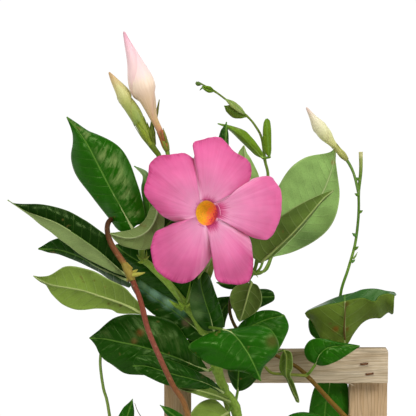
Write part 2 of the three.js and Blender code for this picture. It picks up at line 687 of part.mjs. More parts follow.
function buildBuds() {
  buildBud("bud_pink", [
    [-72.7, 564.6, -46], [-75.5, 571.5, -45], [-79.5, 580, -44], [-83, 591, -43], [-86, 598, -42],
    [-88.5, 606, -41], [-92, 617, -40], [-96.5, 629, -38], [-98.8, 636, -37],
  ], [1.9, 1.9, 2.4, 5, 7, 7.2, 4.6, 2, 0.7], BUD_PINK);
  buildBud("bud_yellow", [
    [-88, 575.2, -43.7], [-91, 581.5, -42.5], [-94.5, 587, -41.5], [-97.5, 591, -41], [-99.5, 596, -40],
    [-105, 604, -38], [-108.5, 609.5, -36],
  ], [2.6, 3.3, 4, 4.3, 3.8, 1.9, 0.6], BUD_YELLOW);
  buildBud("bud_cream", [
    [40.1, 559.5, -5.1], [36, 564, -6], [32, 569, -7], [28, 574, -8], [24, 580, -9], [19.8, 586.6, -10],
  ], [1.5, 2.6, 4.4, 4.2, 2.2, 0.6], BUD_CREAM);
}

// ---- Trellis ----

const UPRIGHTS = [
  { name: "left", x0: -RAIL_HALF_LENGTH, x1: LEFT_UPRIGHT_WIDTH - RAIL_HALF_LENGTH },
  { name: "right", x0: RAIL_HALF_LENGTH - RIGHT_UPRIGHT_WIDTH, x1: RAIL_HALF_LENGTH },
];

// A staple straddling (x, z): a square-wired U whose legs run back into the rail.
function stapleAt(x, z, grow) {
  const outer = STAPLE_WIDTH / 2 + grow;
  const inner = STAPLE_WIDTH / 2 - STAPLE_WIRE - grow;
  const crownBack = -SEAT_GAP + grow;
  const outline = [
    [-outer, -STAPLE_WIRE - SEAT_GAP], [outer, -STAPLE_WIRE - SEAT_GAP], [outer, STAPLE_LEG + grow],
    [inner, STAPLE_LEG + grow], [inner, crownBack], [-inner, crownBack], [-inner, STAPLE_LEG + grow],
    [-outer, STAPLE_LEG + grow],
  ];
  const shape = new THREE.Shape(outline.map(([u, v]) => new THREE.Vector2(u, v)));
  const wire = STAPLE_WIRE + 2 * grow;
  const geometry = new THREE.ExtrudeGeometry(shape, { depth: wire, bevelEnabled: false });
  return solidOf(geometry.translate(x, 0, z - wire / 2));
}

function buildTrellis() {
  const backFace = LATH_THICKNESS + SEAT_GAP;
  for (const { name, x0, x1 } of UPRIGHTS) {
    const upright = box(x0, x1, backFace, backFace + LATH_THICKNESS, UPRIGHT_FOOT, UPRIGHT_TOP);
    addMesh(`upright_${name}`, upright, PINE);
  }
  for (const { name: rowName, top, staples } of RAILS) {
    let rail = box(-RAIL_HALF_LENGTH, RAIL_HALF_LENGTH, 0, LATH_THICKNESS, top - RAIL_HEIGHT, top);
    for (const { name: sideName, x0, x1 } of UPRIGHTS) {
      staples.forEach((drop, index) => {
        const x = (x0 + x1) / 2 + STAPLE_SHIFTS[index];
        rail = rail.subtract(stapleAt(x, top + drop, SEAT_GAP));
        addMesh(`staple_${rowName}_${sideName}_${index + 1}`, stapleAt(x, top + drop, 0), RUSTY_STEEL);
      });
    }
    addMesh(`rail_${rowName}`, rail, PINE);
  }
}

// ---- Pot and soil ----

function potRadius(z) {
  return POT_BASE_RADIUS + ((POT_RIM_RADIUS - RIM_STEP - POT_BASE_RADIUS) * z) / POT_HEIGHT;
}

function buildPot() {
  const bandFoot = POT_HEIGHT - RIM_BAND;
  const pot = lathe([
    [0, 0], [POT_BASE_RADIUS, 0], [potRadius(bandFoot), bandFoot], [POT_RIM_RADIUS, bandFoot + 1],
    [POT_RIM_RADIUS, POT_HEIGHT], [potRadius(POT_HEIGHT) - POT_WALL, POT_HEIGHT],
    [potRadius(POT_WALL) - POT_WALL, POT_WALL], [0, POT_WALL],
  ], POT_SIDES);
  addMesh("pot", solidOf(pot.rotateX(Math.PI / 2)), POT_PLASTIC);
}

function buildSoil() {
  const inner = (z) => potRadius(z) - POT_WALL - SEAT_GAP * 1.4;
  const foot = POT_WALL + SEAT_GAP;
  const mound = lathe([
    [0, foot], [inner(foot), foot], [inner(SOIL_LEVEL - 3), SOIL_LEVEL - 3],
    [inner(SOIL_LEVEL) - SOIL_SHOULDER, SOIL_LEVEL], [0, SOIL_LEVEL + SOIL_CROWN],
  ], POT_SIDES);
  let soil = solidOf(mound.rotateX(Math.PI / 2));
  const backFace = LATH_THICKNESS + SEAT_GAP;
  const above = POT_HEIGHT;
  for (const { x0, x1 } of UPRIGHTS) {
    soil = soil.subtract(box(
      x0 - SEAT_GAP, x1 + SEAT_GAP, backFace - SEAT_GAP, backFace + LATH_THICKNESS + SEAT_GAP,
      UPRIGHT_FOOT - SEAT_GAP, above,
    ));
  }
  const depth = ROOT_DEPTH + above - SOIL_LEVEL;
  for (const { x, y, radius } of ROOTS) {
    const wide = radius + HOLE_CLEARANCE;
    const hole = new THREE.CylinderGeometry(wide, wide, depth, HOLE_SIDES).rotateX(Math.PI / 2);
    soil = soil.subtract(solidOf(hole.translate(x, y, above - depth / 2)));
  }
  addMesh("soil", soil, PEAT);
}

buildPot();
buildSoil();
buildTrellis();
buildVines();
buildBloom();
buildBuds();

export default root;
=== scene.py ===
import math
from random import Random
from types import SimpleNamespace

import bmesh
import bpy
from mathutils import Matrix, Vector, noise


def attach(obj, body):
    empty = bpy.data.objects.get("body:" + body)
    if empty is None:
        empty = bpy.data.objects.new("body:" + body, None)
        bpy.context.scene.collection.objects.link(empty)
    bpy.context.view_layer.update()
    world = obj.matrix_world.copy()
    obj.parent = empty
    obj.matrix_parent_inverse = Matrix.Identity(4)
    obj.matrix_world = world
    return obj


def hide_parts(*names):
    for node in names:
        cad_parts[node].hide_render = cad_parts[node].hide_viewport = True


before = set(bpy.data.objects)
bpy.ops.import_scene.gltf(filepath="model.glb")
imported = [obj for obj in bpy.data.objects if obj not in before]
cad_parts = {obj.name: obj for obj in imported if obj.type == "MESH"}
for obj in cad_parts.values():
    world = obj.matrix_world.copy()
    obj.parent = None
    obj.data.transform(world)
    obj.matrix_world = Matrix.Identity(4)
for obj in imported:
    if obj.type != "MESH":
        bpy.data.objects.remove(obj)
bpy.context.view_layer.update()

MM = 0.001
SOIL_LEVEL = 150
ROOT_DEPTH = 55
SEAT_GAP = 0.3


# ---- Front elevation: tables give (x, z, depth) in millimetres, square to the line of sight through AIM ----

AIM = Vector((-44, 0, 521))
EYE_DISTANCE = 900
EYE_ELEVATION = math.radians(6)
VIEW_WIDTH = 270.4  # of the elevation, at AIM
SIGHT = Vector((0, math.cos(EYE_ELEVATION), -math.sin(EYE_ELEVATION)))
SIGHT_UP = Vector((0, math.sin(EYE_ELEVATION), math.cos(EYE_ELEVATION)))
EYE = AIM - EYE_DISTANCE * SIGHT

THROAT = Vector((-45, 517.7, -79))
BLOOM_FACING = Vector((0.2, -0.97, 0.1)).normalized()


def seen(x, z, depth):
    """The real place, in metres, of a point of the front elevation at that depth."""
    flat = AIM + Vector((x - AIM.x, 0, 0)) + (z - AIM.z) * SIGHT_UP
    return EYE.lerp(flat, (depth - EYE.y) / (flat.y - EYE.y)) * MM


def smooth(value):
    value = min(1, max(0, value))
    return value * value * (3 - 2 * value)


def blended(values, share):
    """The value that far along a list of them."""
    place = share * (len(values) - 1)
    k = min(int(place), len(values) - 2)
    return values[k] + (values[k + 1] - values[k]) * (place - k)


class Route:
    """A smooth line through points, which runs straight on past its ends."""

    def __init__(self, points):
        self.points = [Vector(point) for point in points]

    def at(self, t):
        p = self.points
        last = len(p) - 1
        place = min(1, max(0, t)) * last
        k = min(int(place), last - 1)
        f = place - k
        a = p[k - 1] if k else 2 * p[0] - p[1]
        b, c = p[k], p[k + 1]
        d = p[k + 2] if k + 2 <= last else 2 * p[-1] - p[-2]
        curve = (2 * a - 5 * b + 4 * c - d) * f * f + (3 * b - a - 3 * c + d) * f * f * f
        return (2 * b + (c - a) * f + curve) / 2

    def ahead(self, t):
        return (self.at(t + 1e-3) - self.at(t - 1e-3)).normalized()

    def sampled(self, steps):
        return [self.at(i / steps) for i in range(steps + 1)]

    def even(self, count=24):
        """The same line, its points spaced evenly."""
        fine = self.sampled(20 * count)
        far = [0]
        for a, b in zip(fine, fine[1:]):
            far.append(far[-1] + (b - a).length)
        places = [next(i for i, run in enumerate(far) if run >= far[-1] * k / count - 1e-9)
                  for k in range(count + 1)]
        return Route([fine[i] for i in places])


def flat_route(points):
    """A line through (x, z) points of the front elevation."""
    return Route([(x, 0, z) for x, z in points])


def seen_route(points):
    return Route([seen(*point) for point in points])


def through(values):
    """A function of t that runs smoothly through values as t runs from 0 to 1."""
    line = Route([(value, 0, 0) for value in values])
    return lambda t: line.at(t).x


# ---- Mesh work ----

def only(obj):
    bpy.ops.object.select_all(action="DESELECT")
    obj.select_set(True)
    bpy.context.view_layer.objects.active = obj
    return obj


def applied(obj, kind, **settings):
    """The object with one modifier added and applied."""
    modifier = obj.modifiers.new(kind.title(), kind)
    for key, value in settings.items():
        setattr(modifier, key, value)
    only(obj)
    bpy.ops.object.modifier_apply(modifier=modifier.name)
    return obj


def thickened(obj, thickness, **settings):
    return applied(obj, "SOLIDIFY", thickness=thickness * MM, **settings)


def joined(objects, name):
    only(objects[0])
    for obj in objects:
        obj.select_set(True)
    if len(objects) > 1:
        bpy.ops.object.join()
    obj = bpy.context.view_layer.objects.active
    obj.name = obj.data.name = name
    return obj


def settled(obj, name, slot, *nodes):
    """Names a finished piece, moves its place into its mesh and hands it to the frame."""
    only(obj)
    bpy.ops.object.transform_apply(location=True, rotation=True, scale=True)
    obj.name = obj.data.name = name
    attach(obj, "root")
    if nodes:
        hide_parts(*nodes)
    return obj


def clad(obj, *materials):
    for material in materials:
        obj.data.materials.append(material)
    return obj


def marked(obj, name, values):
    """Gives a piece one number for each of its points."""
    obj.data.attributes.new(name, "FLOAT", "POINT").data.foreach_set("value", values)


def tinted(obj, **colours):
    """Gives a piece one colour attribute for each name."""
    for name, colour in colours.items():
        attribute = obj.data.color_attributes.new(name=name, type="FLOAT_COLOR", domain="POINT")
        attribute.data.foreach_set("color", list(linear(colour)) * len(obj.data.vertices))
    return obj


def graded(obj, name, stops):
    """A colour attribute that blends through (height in millimetres, hex) stops."""
    layer = obj.data.color_attributes.new(name=name, type="FLOAT_COLOR", domain="POINT")
    codes = [Vector(linear(code)) for _, code in stops]
    for vertex, item in zip(obj.data.vertices, layer.data):
        colour = codes[0]
        for (low, _), (high, _), code in zip(stops, stops[1:], codes[1:]):
            colour = colour.lerp(code, smooth((vertex.co.z / MM - low) / (high - low)))
        item.color = colour
    return obj


def welded(obj):
    """Merges points that lie on each other and turns all faces outwards."""
    only(obj)
    bpy.ops.object.mode_set(mode="EDIT")
    bpy.ops.mesh.select_all(action="SELECT")
    bpy.ops.mesh.remove_doubles(threshold=1e-6)
    bpy.ops.mesh.normals_make_consistent(inside=False)
    bpy.ops.object.mode_set(mode="OBJECT")
    return obj


def shaped_grid(rows, columns, place, closed=False):
    """A grid bent by place(t, s) -> (point, (u, v)); closed joins its two long edges into a tube."""
    bpy.ops.object.select_all(action="DESELECT")
    bpy.ops.mesh.primitive_grid_add(x_subdivisions=rows, y_subdivisions=columns, size=1)
    obj = bpy.context.object
    mesh = obj.data
    spots = [place(vertex.co.x + 0.5, vertex.co.y + 0.5) for vertex in mesh.vertices]
    mesh.vertices.foreach_set("co", [c for point, _ in spots for c in point])
    uv = mesh.uv_layers[0].data
    for loop in mesh.loops:
        uv[loop.index].uv = spots[loop.vertex_index][1]
    if closed:
        welded(obj)
    mesh.update()
    bpy.ops.object.shade_smooth()
    return obj


def tube(points, radii, material, sides=8):
    """A round stem through points, in metres, its radius in millimetres blended through the list of radii."""
    curve = bpy.data.curves.new("tube", "CURVE")
    curve.dimensions = "3D"
    curve.bevel_depth = MM
    curve.bevel_resolution = sides // 2 - 2
    curve.use_fill_caps = True
    spline = curve.splines.new("POLY")
    last = len(points) - 1
    spline.points.add(last)
    length = 0
    for i, point in enumerate(points):
        spline.points[i].co = (*point, 1)
        spline.points[i].radius = blended(radii, i / last)
        length += (point - points[i - 1]).length / MM if i else 0
    obj = bpy.data.objects.new("tube", curve)
    bpy.context.collection.objects.link(obj)
    only(obj)
    bpy.ops.object.convert(target="MESH")
    obj = bpy.context.object
    for item in obj.data.uv_layers[0].data:
        item.uv.x *= length / UV_SPAN
    bpy.ops.object.shade_smooth_by_angle(angle=math.radians(60))
    return clad(obj, material)


# ---- Materials ----

UV_SPAN = 100  # millimetres of a blade or stem along one unit of its UV map
FACTOR, COLOUR_A, COLOUR_B, COLOUR_OUT = 0, 6, 7, 2  # sockets of a Mix node in colour mode
SOFT = "SMOOTHSTEP"


def linear(code):
    """sRGB hex to linear RGBA."""
    parts = [int(code[i:i + 2], 16) / 255 for i in (1, 3, 5)]
    return (*[c / 12.92 if c <= 0.04045 else ((c + 0.055) / 1.055) ** 2.4 for c in parts], 1)


class Nodes:
    """A node tree; every method adds to it and gives an output, and takes values or other outputs."""

    def __init__(self, owner):
        owner.use_nodes = True
        self.owner = owner
        self.tree = owner.node_tree

    def add(self, kind, sockets, out=0, **settings):
        node = self.tree.nodes.new("ShaderNode" + kind)
        for key, value in settings.items():
            setattr(node, key, value)
        for key, value in sockets.items():
            if isinstance(value, bpy.types.NodeSocket):
                self.tree.links.new(value, node.inputs[key])
            else:
                node.inputs[key].default_value = value
        return node.outputs[out]

    def uv(self):
        return self.add("UVMap", {}, uv_map="UVMap")

    def spot(self, space="Object"):
        return self.add("TexCoord", {}, space)

    def own(self, name, out="Color"):
        """What the piece's own attribute of that name says."""
        return self.add("Attribute", {}, out, attribute_name=name)

    def parts(self, vector):
        return self.add("SeparateXYZ", {0: vector}).node.outputs[:]

    def stretched(self, vector, scale):
        return self.add("Mapping", {"Vector": vector, "Scale": scale})

    def math(self, operation, *values):
        return self.add("Math", dict(enumerate(values)), operation=operation)

    def span(self, value, low, high, start=0, end=1, steps="LINEAR"):
        """From start to end as the value runs from low to high."""
        return self.add("MapRange", dict(enumerate((value, low, high, start, end))), interpolation_type=steps)

    def noise(self, vector, scale, detail=2, roughness=0.5):
        sockets = {"Vector": vector, "Scale": scale, "Detail": detail, "Roughness": roughness}
        return self.add("TexNoise", sockets)

    def lit(self, colour, value):
        return self.add("HueSaturation", {"Color": colour, "Value": value})

    def blend(self, share, under, over):
        """A share of the colour over, an output or a hex code, on the colour under."""
        over = linear(over) if isinstance(over, str) else over
        return self.add("Mix", {FACTOR: share, COLOUR_A: under, COLOUR_B: over}, COLOUR_OUT, data_type="RGBA")

    def ramp(self, value, stops):
        """The colour of (place, hex) stops at the value."""
        colour = self.add("ValToRGB", {0: value})
        elements = colour.node.color_ramp.elements
        while len(elements) < len(stops):
            elements.new(0.5)
        for element, (place, code) in zip(elements, stops):
            element.position = place
            element.color = linear(code)
        return colour


def new_material(name, **settings):
    nodes = Nodes(bpy.data.materials.new(name))
    shader = nodes.tree.nodes["Principled BSDF"]
    for socket, value in settings.items():
        shader.inputs[socket.replace("_", " ")].default_value = value
    return nodes


def finished(nodes, colour, height, strength, depth, roughness=None):
    """The material with its colour, and with bumps that are depth millimetres deep."""
    shader = nodes.tree.nodes["Principled BSDF"]
    bump = nodes.add("Bump", {"Height": height, "Strength": strength, "Distance": depth * MM})
    nodes.tree.links.new(colour, shader.inputs["Base Color"])
    nodes.tree.links.new(bump, shader.inputs["Normal"])
    if roughness:
        nodes.tree.links.new(roughness, shader.inputs["Roughness"])
    return nodes.owner


VEIN_SPACING = 6.5   # millimetres between side veins along the midrib
VEIN_LEAN = 0.55     # how far a side vein runs on towards the tip for each millimetre out
VEIN_CURL = 0.012
NET_CELL = 1.3       # millimetres across a cell of the finest veins, coarser than life so that they show


def vein_phase(along, across):
    """How many veins along a spot of the blade lies; side veins arch towards the tip."""
    return (along - VEIN_LEAN * across - VEIN_CURL * across * across) / VEIN_SPACING


def leaf_skin(name, tint, vein_code, vein_share, rib_share, roughness, shine, relief):
    """Waxy leaf skin with its pattern of veins; relief is in millimetres, below nought for sunken veins.

    Where the leaf's own attribute says so, pale streaks between the side veins are a painted highlight: the
    gloss of its wax, on the half that faces the light.
    """
    nodes = new_material(name, Specular_IOR_Level=shine, Specular_Tint=linear("#b6da84"))
    uv, spot, own = nodes.uv(), nodes.spot(), nodes.own(tint)
    u, v, _ = nodes.parts(uv)
    along = nodes.math("MULTIPLY", u, UV_SPAN)
    across = nodes.math("ABSOLUTE", nodes.math("MULTIPLY", v, UV_SPAN))
    run = nodes.math("MULTIPLY", nodes.math("MULTIPLY_ADD", across, VEIN_CURL, VEIN_LEAN), across)
    phase = nodes.math("MULTIPLY", nodes.math("SUBTRACT", along, run), 2 / VEIN_SPACING)
    vein = nodes.span(nodes.math("PINGPONG", phase, 1), 0, 0.2, 1, 0, SOFT)
    side = nodes.math("MULTIPLY", vein, nodes.span(across, 2, 20, 1, 0.2))
    rib = nodes.span(across, 0.2, 0.75, 1, 0, SOFT)
    net = nodes.add("TexVoronoi", {"Vector": uv, "Scale": UV_SPAN / NET_CELL}, feature="DISTANCE_TO_EDGE")
    cells = nodes.span(net, 0, 0.2)
    cloud = nodes.noise(spot, 55, 4)
    clouded = nodes.span(cloud, 0.3, 0.7, 0.82, 1.17)
    value = nodes.math("MULTIPLY", clouded, nodes.span(cells, 0, 1, 1.12, 0.97))
    colour = nodes.blend(nodes.math("MULTIPLY", side, vein_share), nodes.lit(own, value),
                         nodes.blend(0.5, own, vein_code))
    colour = nodes.blend(nodes.math("MULTIPLY", rib, rib_share), colour, vein_code)
    # Painted highlight: pale streaks of gloss between the side veins, as strong as the leaf's own attribute
    # says.
    drawn = nodes.stretched(nodes.add("CombineXYZ", {0: phase, 1: across}), (0.55, 0.07, 1))
    gloss_streaks = nodes.span(nodes.noise(drawn, 1, 4, 0.6), 0.46, 0.66, 0, 0.6)
    colour = nodes.blend(nodes.math("MULTIPLY", gloss_streaks, nodes.own("painted_sheen", "Fac")), colour, "#8ea05e")
    # Brown specks where the skin has been scuffed, then a pale hem.
    colour = nodes.blend(nodes.span(nodes.noise(spot, 140), 0.7, 0.76, 0, 0.6), colour, "#6b5a2c")
    colour = nodes.blend(nodes.span(nodes.own("rim", "Fac"), 0.95, 1, 0, 0.4), colour, vein_code)
    height = nodes.math("MULTIPLY_ADD", nodes.math("MAXIMUM", side, rib), math.copysign(1, relief),
                        nodes.math("MULTIPLY", cells, 0.06))
    dull = nodes.span(cloud, 0.3, 0.7, roughness + 0.08, roughness - 0.05)
    return finished(nodes, colour, height, 0.7, abs(relief), dull)


def stem_skin():
    """Young climber bark: smooth skin drawn out in fine lengthwise streaks, with a slight waxy shine."""
    nodes = new_material("ribbed climber bark", Specular_IOR_Level=0.18, Roughness=0.42,
                         Specular_Tint=linear("#ece4b4"))
    streak = nodes.noise(nodes.stretched(nodes.uv(), (9, 5, 1)), 3, 4, 0.6)
    skin = nodes.lit(nodes.own("stem_tint"), nodes.span(streak, 0.3, 0.7, 0.7, 1.3))
    # Pale breathing pores, 0.5 mm across.
    dots = nodes.add("TexVoronoi", {"Vector": nodes.spot(), "Scale": 260})
    dotted = nodes.blend(nodes.span(dots, 0.08, 0.2, 0.18, 0), skin, "#c9b48c")
    return finished(nodes, dotted, streak, 0.5, 0.3)


def petal_skin():
    """Soft petal: cells like velvet, pale at the throat, deepening to the margin, with fine rays; the crimson
    at the feet right of the throat is painted shade.
    """
    nodes = new_material("velvety pink petal", Roughness=0.65, Sheen_Weight=0.08, Sheen_Roughness=0.4,
                         Specular_IOR_Level=0.2, Subsurface_Weight=0.35, Subsurface_Scale=2 * MM,
                         Subsurface_Radius=(1, 0.55, 0.7))
    uv = nodes.uv()
    out, over, _ = nodes.parts(uv)
    streak = nodes.noise(nodes.stretched(uv, (1.6, 34, 1)), 1, 5, 0.55)
    # The ramp's crimson start is reached only at the feet of the petals right of the throat: painted shade
    # there.
    base = nodes.ramp(nodes.math("ADD", out, nodes.span(streak, 0.25, 0.75, -0.09, 0.09)), [
        (0, "#a01c48"), (0.06, "#c04478"), (0.15, "#dc8fb0"), (0.38, "#da7ca5"), (0.68, "#d46596"),
        (0.93, "#ca558a"), (1, "#b03a70")])
    skin = nodes.lit(base, nodes.span(nodes.noise(nodes.spot(), 70), 0.3, 0.7, 0.9, 1.08))
    # The edge that lay outermost in the bud is pale, and this pale band is widened and strengthened as
    # painted light, lifting the shade where the petals curl and overlap.
    edge = nodes.math("MULTIPLY_ADD", streak, 0.16, over)
    pale_edge_and_light = nodes.blend(nodes.span(edge, 0.14, 0.34, 0.6, 0, SOFT), skin, "#f3bcd2")
    return finished(nodes, pale_edge_and_light, streak, 0.5, 0.5)


MOUTH = 0.0156  # metres across the throat, from its own yellow at the upper left to red at the lower right, where the red and dark red are painted shade on the tube's inner wall
MOUTH_SLOPE = 0.35


def throat_skin():
    """Inside of the flower's tube: downy yellow, turning red towards the lower right, where the red and dark
    red are painted shade on the inner wall.
    """
    nodes = new_material("downy yellow throat", Roughness=0.7, Sheen_Weight=0.1)
    spot = nodes.spot()
    down = nodes.noise(spot, 900, 3)
    x, _, z = nodes.parts(spot)
    centre = seen(*THROAT)
    # The colour runs across the throat towards its lower right, where red and dark red are painted shade.
    shade_lean = nodes.math("MULTIPLY_ADD", z, -MOUTH_SLOPE, MOUTH_SLOPE * centre.z - centre.x)
    place = nodes.span(nodes.math("ADD", x, shade_lean), -MOUTH / 2, MOUTH / 2)
    base = nodes.ramp(nodes.math("ADD", place, nodes.span(down, 0.3, 0.7, -0.14, 0.14)), [
        (0, "#e2bc04"), (0.45, "#ecb008"), (0.62, "#f08c24"), (0.78, "#e65044"), (0.92, "#aa1e40")])
    return finished(nodes, nodes.lit(base, nodes.span(down, 0.35, 0.65, 0.9, 1.14)), down, 0.5, 0.4)


def bud_skin(name, stops, turns, seam_code):
    """Furled petals from outside, streaked lengthwise; stops run from foot to tip, seams wind in turns."""
    nodes = new_material(name, Roughness=0.5, Sheen_Weight=0.15)
    uv = nodes.uv()
    rise, around, _ = nodes.parts(uv)
    streak = nodes.noise(nodes.stretched(uv, (2.5, 16, 1)), 1.5, 4)
    base = nodes.ramp(nodes.math("ADD", rise, nodes.span(streak, 0.25, 0.75, -0.06, 0.06)), stops)
    wound = nodes.math("MULTIPLY_ADD", rise, -turns, nodes.math("MULTIPLY", around, 2))
    seam = nodes.span(nodes.math("FRACT", wound), 0.75, 1, 0, 0.28, SOFT)
    return finished(nodes, nodes.blend(seam, base, seam_code), streak, 0.4, 0.4)


def sawn_pine():
    """Sawn pine lath: pale tan with darker growth lines 2 to 5 mm apart, furry, stained by weather, and
    darkened with painted shade where its own attribute says.
    """
    nodes = new_material("sawn pine", Roughness=0.82, Specular_IOR_Level=0.3)
    grain = nodes.own("grain", "Vector")
    drift = nodes.noise(nodes.stretched(grain, (0.012, 0.05, 0.05)), 1)
    swing = nodes.math("MULTIPLY_ADD", drift, 26, nodes.parts(grain)[1])
    ring = nodes.math("PINGPONG", nodes.math("MULTIPLY", swing, 0.75), 1)
    late = nodes.span(ring, 0.74, 0.99, 0, 1, SOFT)
    fibre = nodes.noise(nodes.stretched(grain, (0.03, 1.4, 1.4)), 1, 5, 0.65)
    stain = nodes.noise(nodes.stretched(grain, (0.03, 0.06, 0.06)), 1, 3)
    colour = nodes.ramp(fibre, [(0.25, "#ac9672"), (0.45, "#ceb898"), (0.62, "#e0cfb2"), (0.8, "#ebdcc4")])
    for share, code in (
        (nodes.own("heart", "Fac"), "#c48c4a"),
        (nodes.math("MULTIPLY", late, 0.3), "#86643c"),
        (nodes.span(stain, 0.5, 0.72, 0, 0.55), "#7d6747"),
        # Painted shade, in part a weather stain, where leaves and the rail shade the lath.
        (nodes.math("MULTIPLY", nodes.own("damp_and_shade", "Fac"), 0.75), "#5a4c22"),
    ):
        colour = nodes.blend(share, colour, code)
    return finished(nodes, colour, nodes.math("MULTIPLY_ADD", late, 0.5, fibre), 0.8, 0.5)


def mottled(name, stops, scale_mm, roughness, bump_mm, detail=4, **settings):
    """A plain solid stuff whose colour and surface vary in spots of about scale_mm."""
    nodes = new_material(name, Roughness=roughness, **settings)
    spots = nodes.noise(nodes.spot(), 1 / (scale_mm * MM), detail)
    return finished(nodes, nodes.ramp(spots, stops), spots, 0.6, bump_mm)


UPPER = leaf_skin("waxy leaf upper side", "upper_tint", "#6f9a3c", 0.16, 0.48, 0.28, 0.3, -0.3)
UNDER = leaf_skin("matt leaf under side", "under_tint", "#a9b878", 0.24, 0.6, 0.5, 0.15, 0.35)
BARK = stem_skin()
PETAL = petal_skin()
THROAT_DOWN = throat_skin()
PINK_BUD = bud_skin("furled pink petal", [
    (0, "#b0603c"), (0.1, "#b87050"), (0.2, "#bc9a60"), (0.3, "#ccae84"), (0.45, "#dcc0a4"),
    (0.57, "#ecd4bc"), (0.64, "#eed0c8"), (0.8, "#ecc2c6"), (0.92, "#e0a4b4"), (1, "#cc929e")],
    2.2, "#c88c92")
YELLOW_BUD = bud_skin("furled yellow-green petal", [
    (0, "#788e34"), (0.2, "#8d9c40"), (0.48, "#acae5c"), (0.7, "#c8c47e"), (0.86, "#c4a470"), (1, "#b08a5c")],
    1.8, "#8a7c3a")
CREAM_BUD = bud_skin("furled cream petal", [
    (0, "#b0b25e"), (0.22, "#c8c67c"), (0.5, "#d6d4a0"), (0.8, "#ddd4b4"), (1, "#d2b2a6")], 1.8, "#b0a070")
PINE = sawn_pine()
RUST = mottled("rusted steel wire", [(0.3, "#3f2413"), (0.5, "#6e4122"), (0.7, "#9a6a3c")], 1.5, 0.72, 0.2,
               Metallic=0.35)
PLASTIC = mottled("moulded terracotta polypropylene", [(0.3, "#8d4c33"), (0.7, "#9b573c")], 30, 0.5, 0.15)
PEAT = mottled("loose peat compost", [(0.25, "#1b110a"), (0.5, "#38261a"), (0.75, "#5b4330")], 5, 0.95, 2,
               detail=8)


# ---- Leaves ----

# Each tone is the upper side, the under side and the midrib from below.
DEEP = ("#194f03", "#84955a", "#a9b878")
DARK = ("#123b03", "#74855a", "#a9b878")
BRIGHT = ("#174f03", "#7d9440", "#a9b878")
YOUNG = ("#607e1c", "#7f9440", "#8fae50")
OLIVE = ("#3c6a1c", "#6e8436", "#a3b06a")
SHADED = ("#2c5414", "#52662a", "#93a45c")
PALE = ("#3a7020", "#82a25a", "#a8bd7e")
GREY = ("#33602a", "#687844", "#94a270")

BLADE_THICKNESS = 0.45
BLADE_HALF_MIN = 0.2
BLADE_BULGE = 0.1
BLADE_WAVE, BLADE_WAVE_COUNT, BLADE_WAVE_OFFSET = 0.07, 2.2, 0.3
RIPPLE, RIPPLE_COUNT = 0.02, 6.3
BLADE_FULLNESS = 0.75
FOLD_RUN = 0.18
TIP_START = 0.8
TIP_TAPER = 0.6
QUILTING = 0.38      # millimetres that the blade rises between two side veins, where it is wider than QUILTED
QUILTED = 10
GROOVE, GROOVE_WIDTH, GROOVED = 0.3, 1.1, 6  # over the midrib, in full where the blade is wider than GROOVED
PUCKER, PUCKER_GRAIN = 1.1, 0.13             # slow unevenness of the blade
RIDGE_DROP = 0.6     # the raised midrib lies this far under the blade
RIDGE_RUN = 0.93
STALK_RADIUS = 1.1
# Share of a spot's own colour at its centre, for blemishes and for painted highlight and shade alike.
STAIN_AND_PAINTED_LIGHT = 0.85


def margin(fall, points, turned=False, tip=None):
    """Half a blade by the points of its edge between base and tip, which falls that far behind the midrib.

    Its own tip is given where that isn't the midrib's.
    """
    return SimpleNamespace(fall=fall, points=points, turned=turned, tip=tip)


def leaf(rib, ccw, cw, tone, face=1, via=(), foot=None, stalk=STALK_RADIUS, rising=False, fine=True,
         spots=(), painted_sheen=(0, 0)):
    """A leaf by its midrib from base to tip and its halves: a margin, or (reach, fall, widest at, lobe).

    Its last argument is how much painted highlight, the gloss of its wax, shows on its ccw and its cw half;
    its spots are blemishes, and on a few leaves painted highlight or shade.
    """
    for half in (ccw, cw):
        if not isinstance(half, tuple):
            half.edge = flat_route([rib[0][:2], *half.points, half.tip or rib[-1][:2]]).even()
    return SimpleNamespace(rib=rib, ccw=ccw, cw=cw, tone=tone, face=face, via=via, foot=foot, stalk=stalk,
                           rising=rising, fine=fine, spots=spots, painted_sheen=painted_sheen)


def swell(t, peak):
    bend = math.log(0.5) / math.log(peak)
    full = max(0, math.sin(math.pi * t ** bend)) ** BLADE_FULLNESS
    return full * (1 - TIP_TAPER * smooth((t - TIP_START) / (1 - TIP_START)))


def real(shape, point):
    """The real place of a point (x, depth, z) of a leaf's own table space."""
    return point * MM if shape.rising else seen(point.x, point.z, point.y)


def rib_of(shape):
    """The midrib's line, and the way that the blade faces."""
    facing = Vector((0, 0, 1)) if shape.rising else Vector((0, -1, 0))
    return Route([(x, depth, z) for x, z, depth in shape.rib]).even(), facing


def half_blade(half, side, t, spine, ahead, facing):
    """From a spot of the midrib: the step to the blade's edge, and the way that the blade faces there."""
    across = side * facing.cross(ahead).normalized()
    if isinstance(half, tuple):
        width, fall, peak, back = (*half, *(0.5, 0)[len(half) - 2:])
        size = max(BLADE_HALF_MIN, math.hypot(width, fall) * swell(t, peak))
        turn = math.atan2(fall, width) * smooth(min(t, 1 - t) / FOLD_RUN)
        step = size * (math.cos(turn) * across - math.sin(turn) * facing)
        step -= back * swell(t, peak) * (1 - t) * ahead
        return step, math.sin(turn) * across + math.cos(turn) * facing
    edge = half.edge.at(t)
    step = Vector((edge.x - spine.x, half.fall * swell(t, 0.5), edge.z - spine.z))
    return step + BLADE_HALF_MIN * across, facing


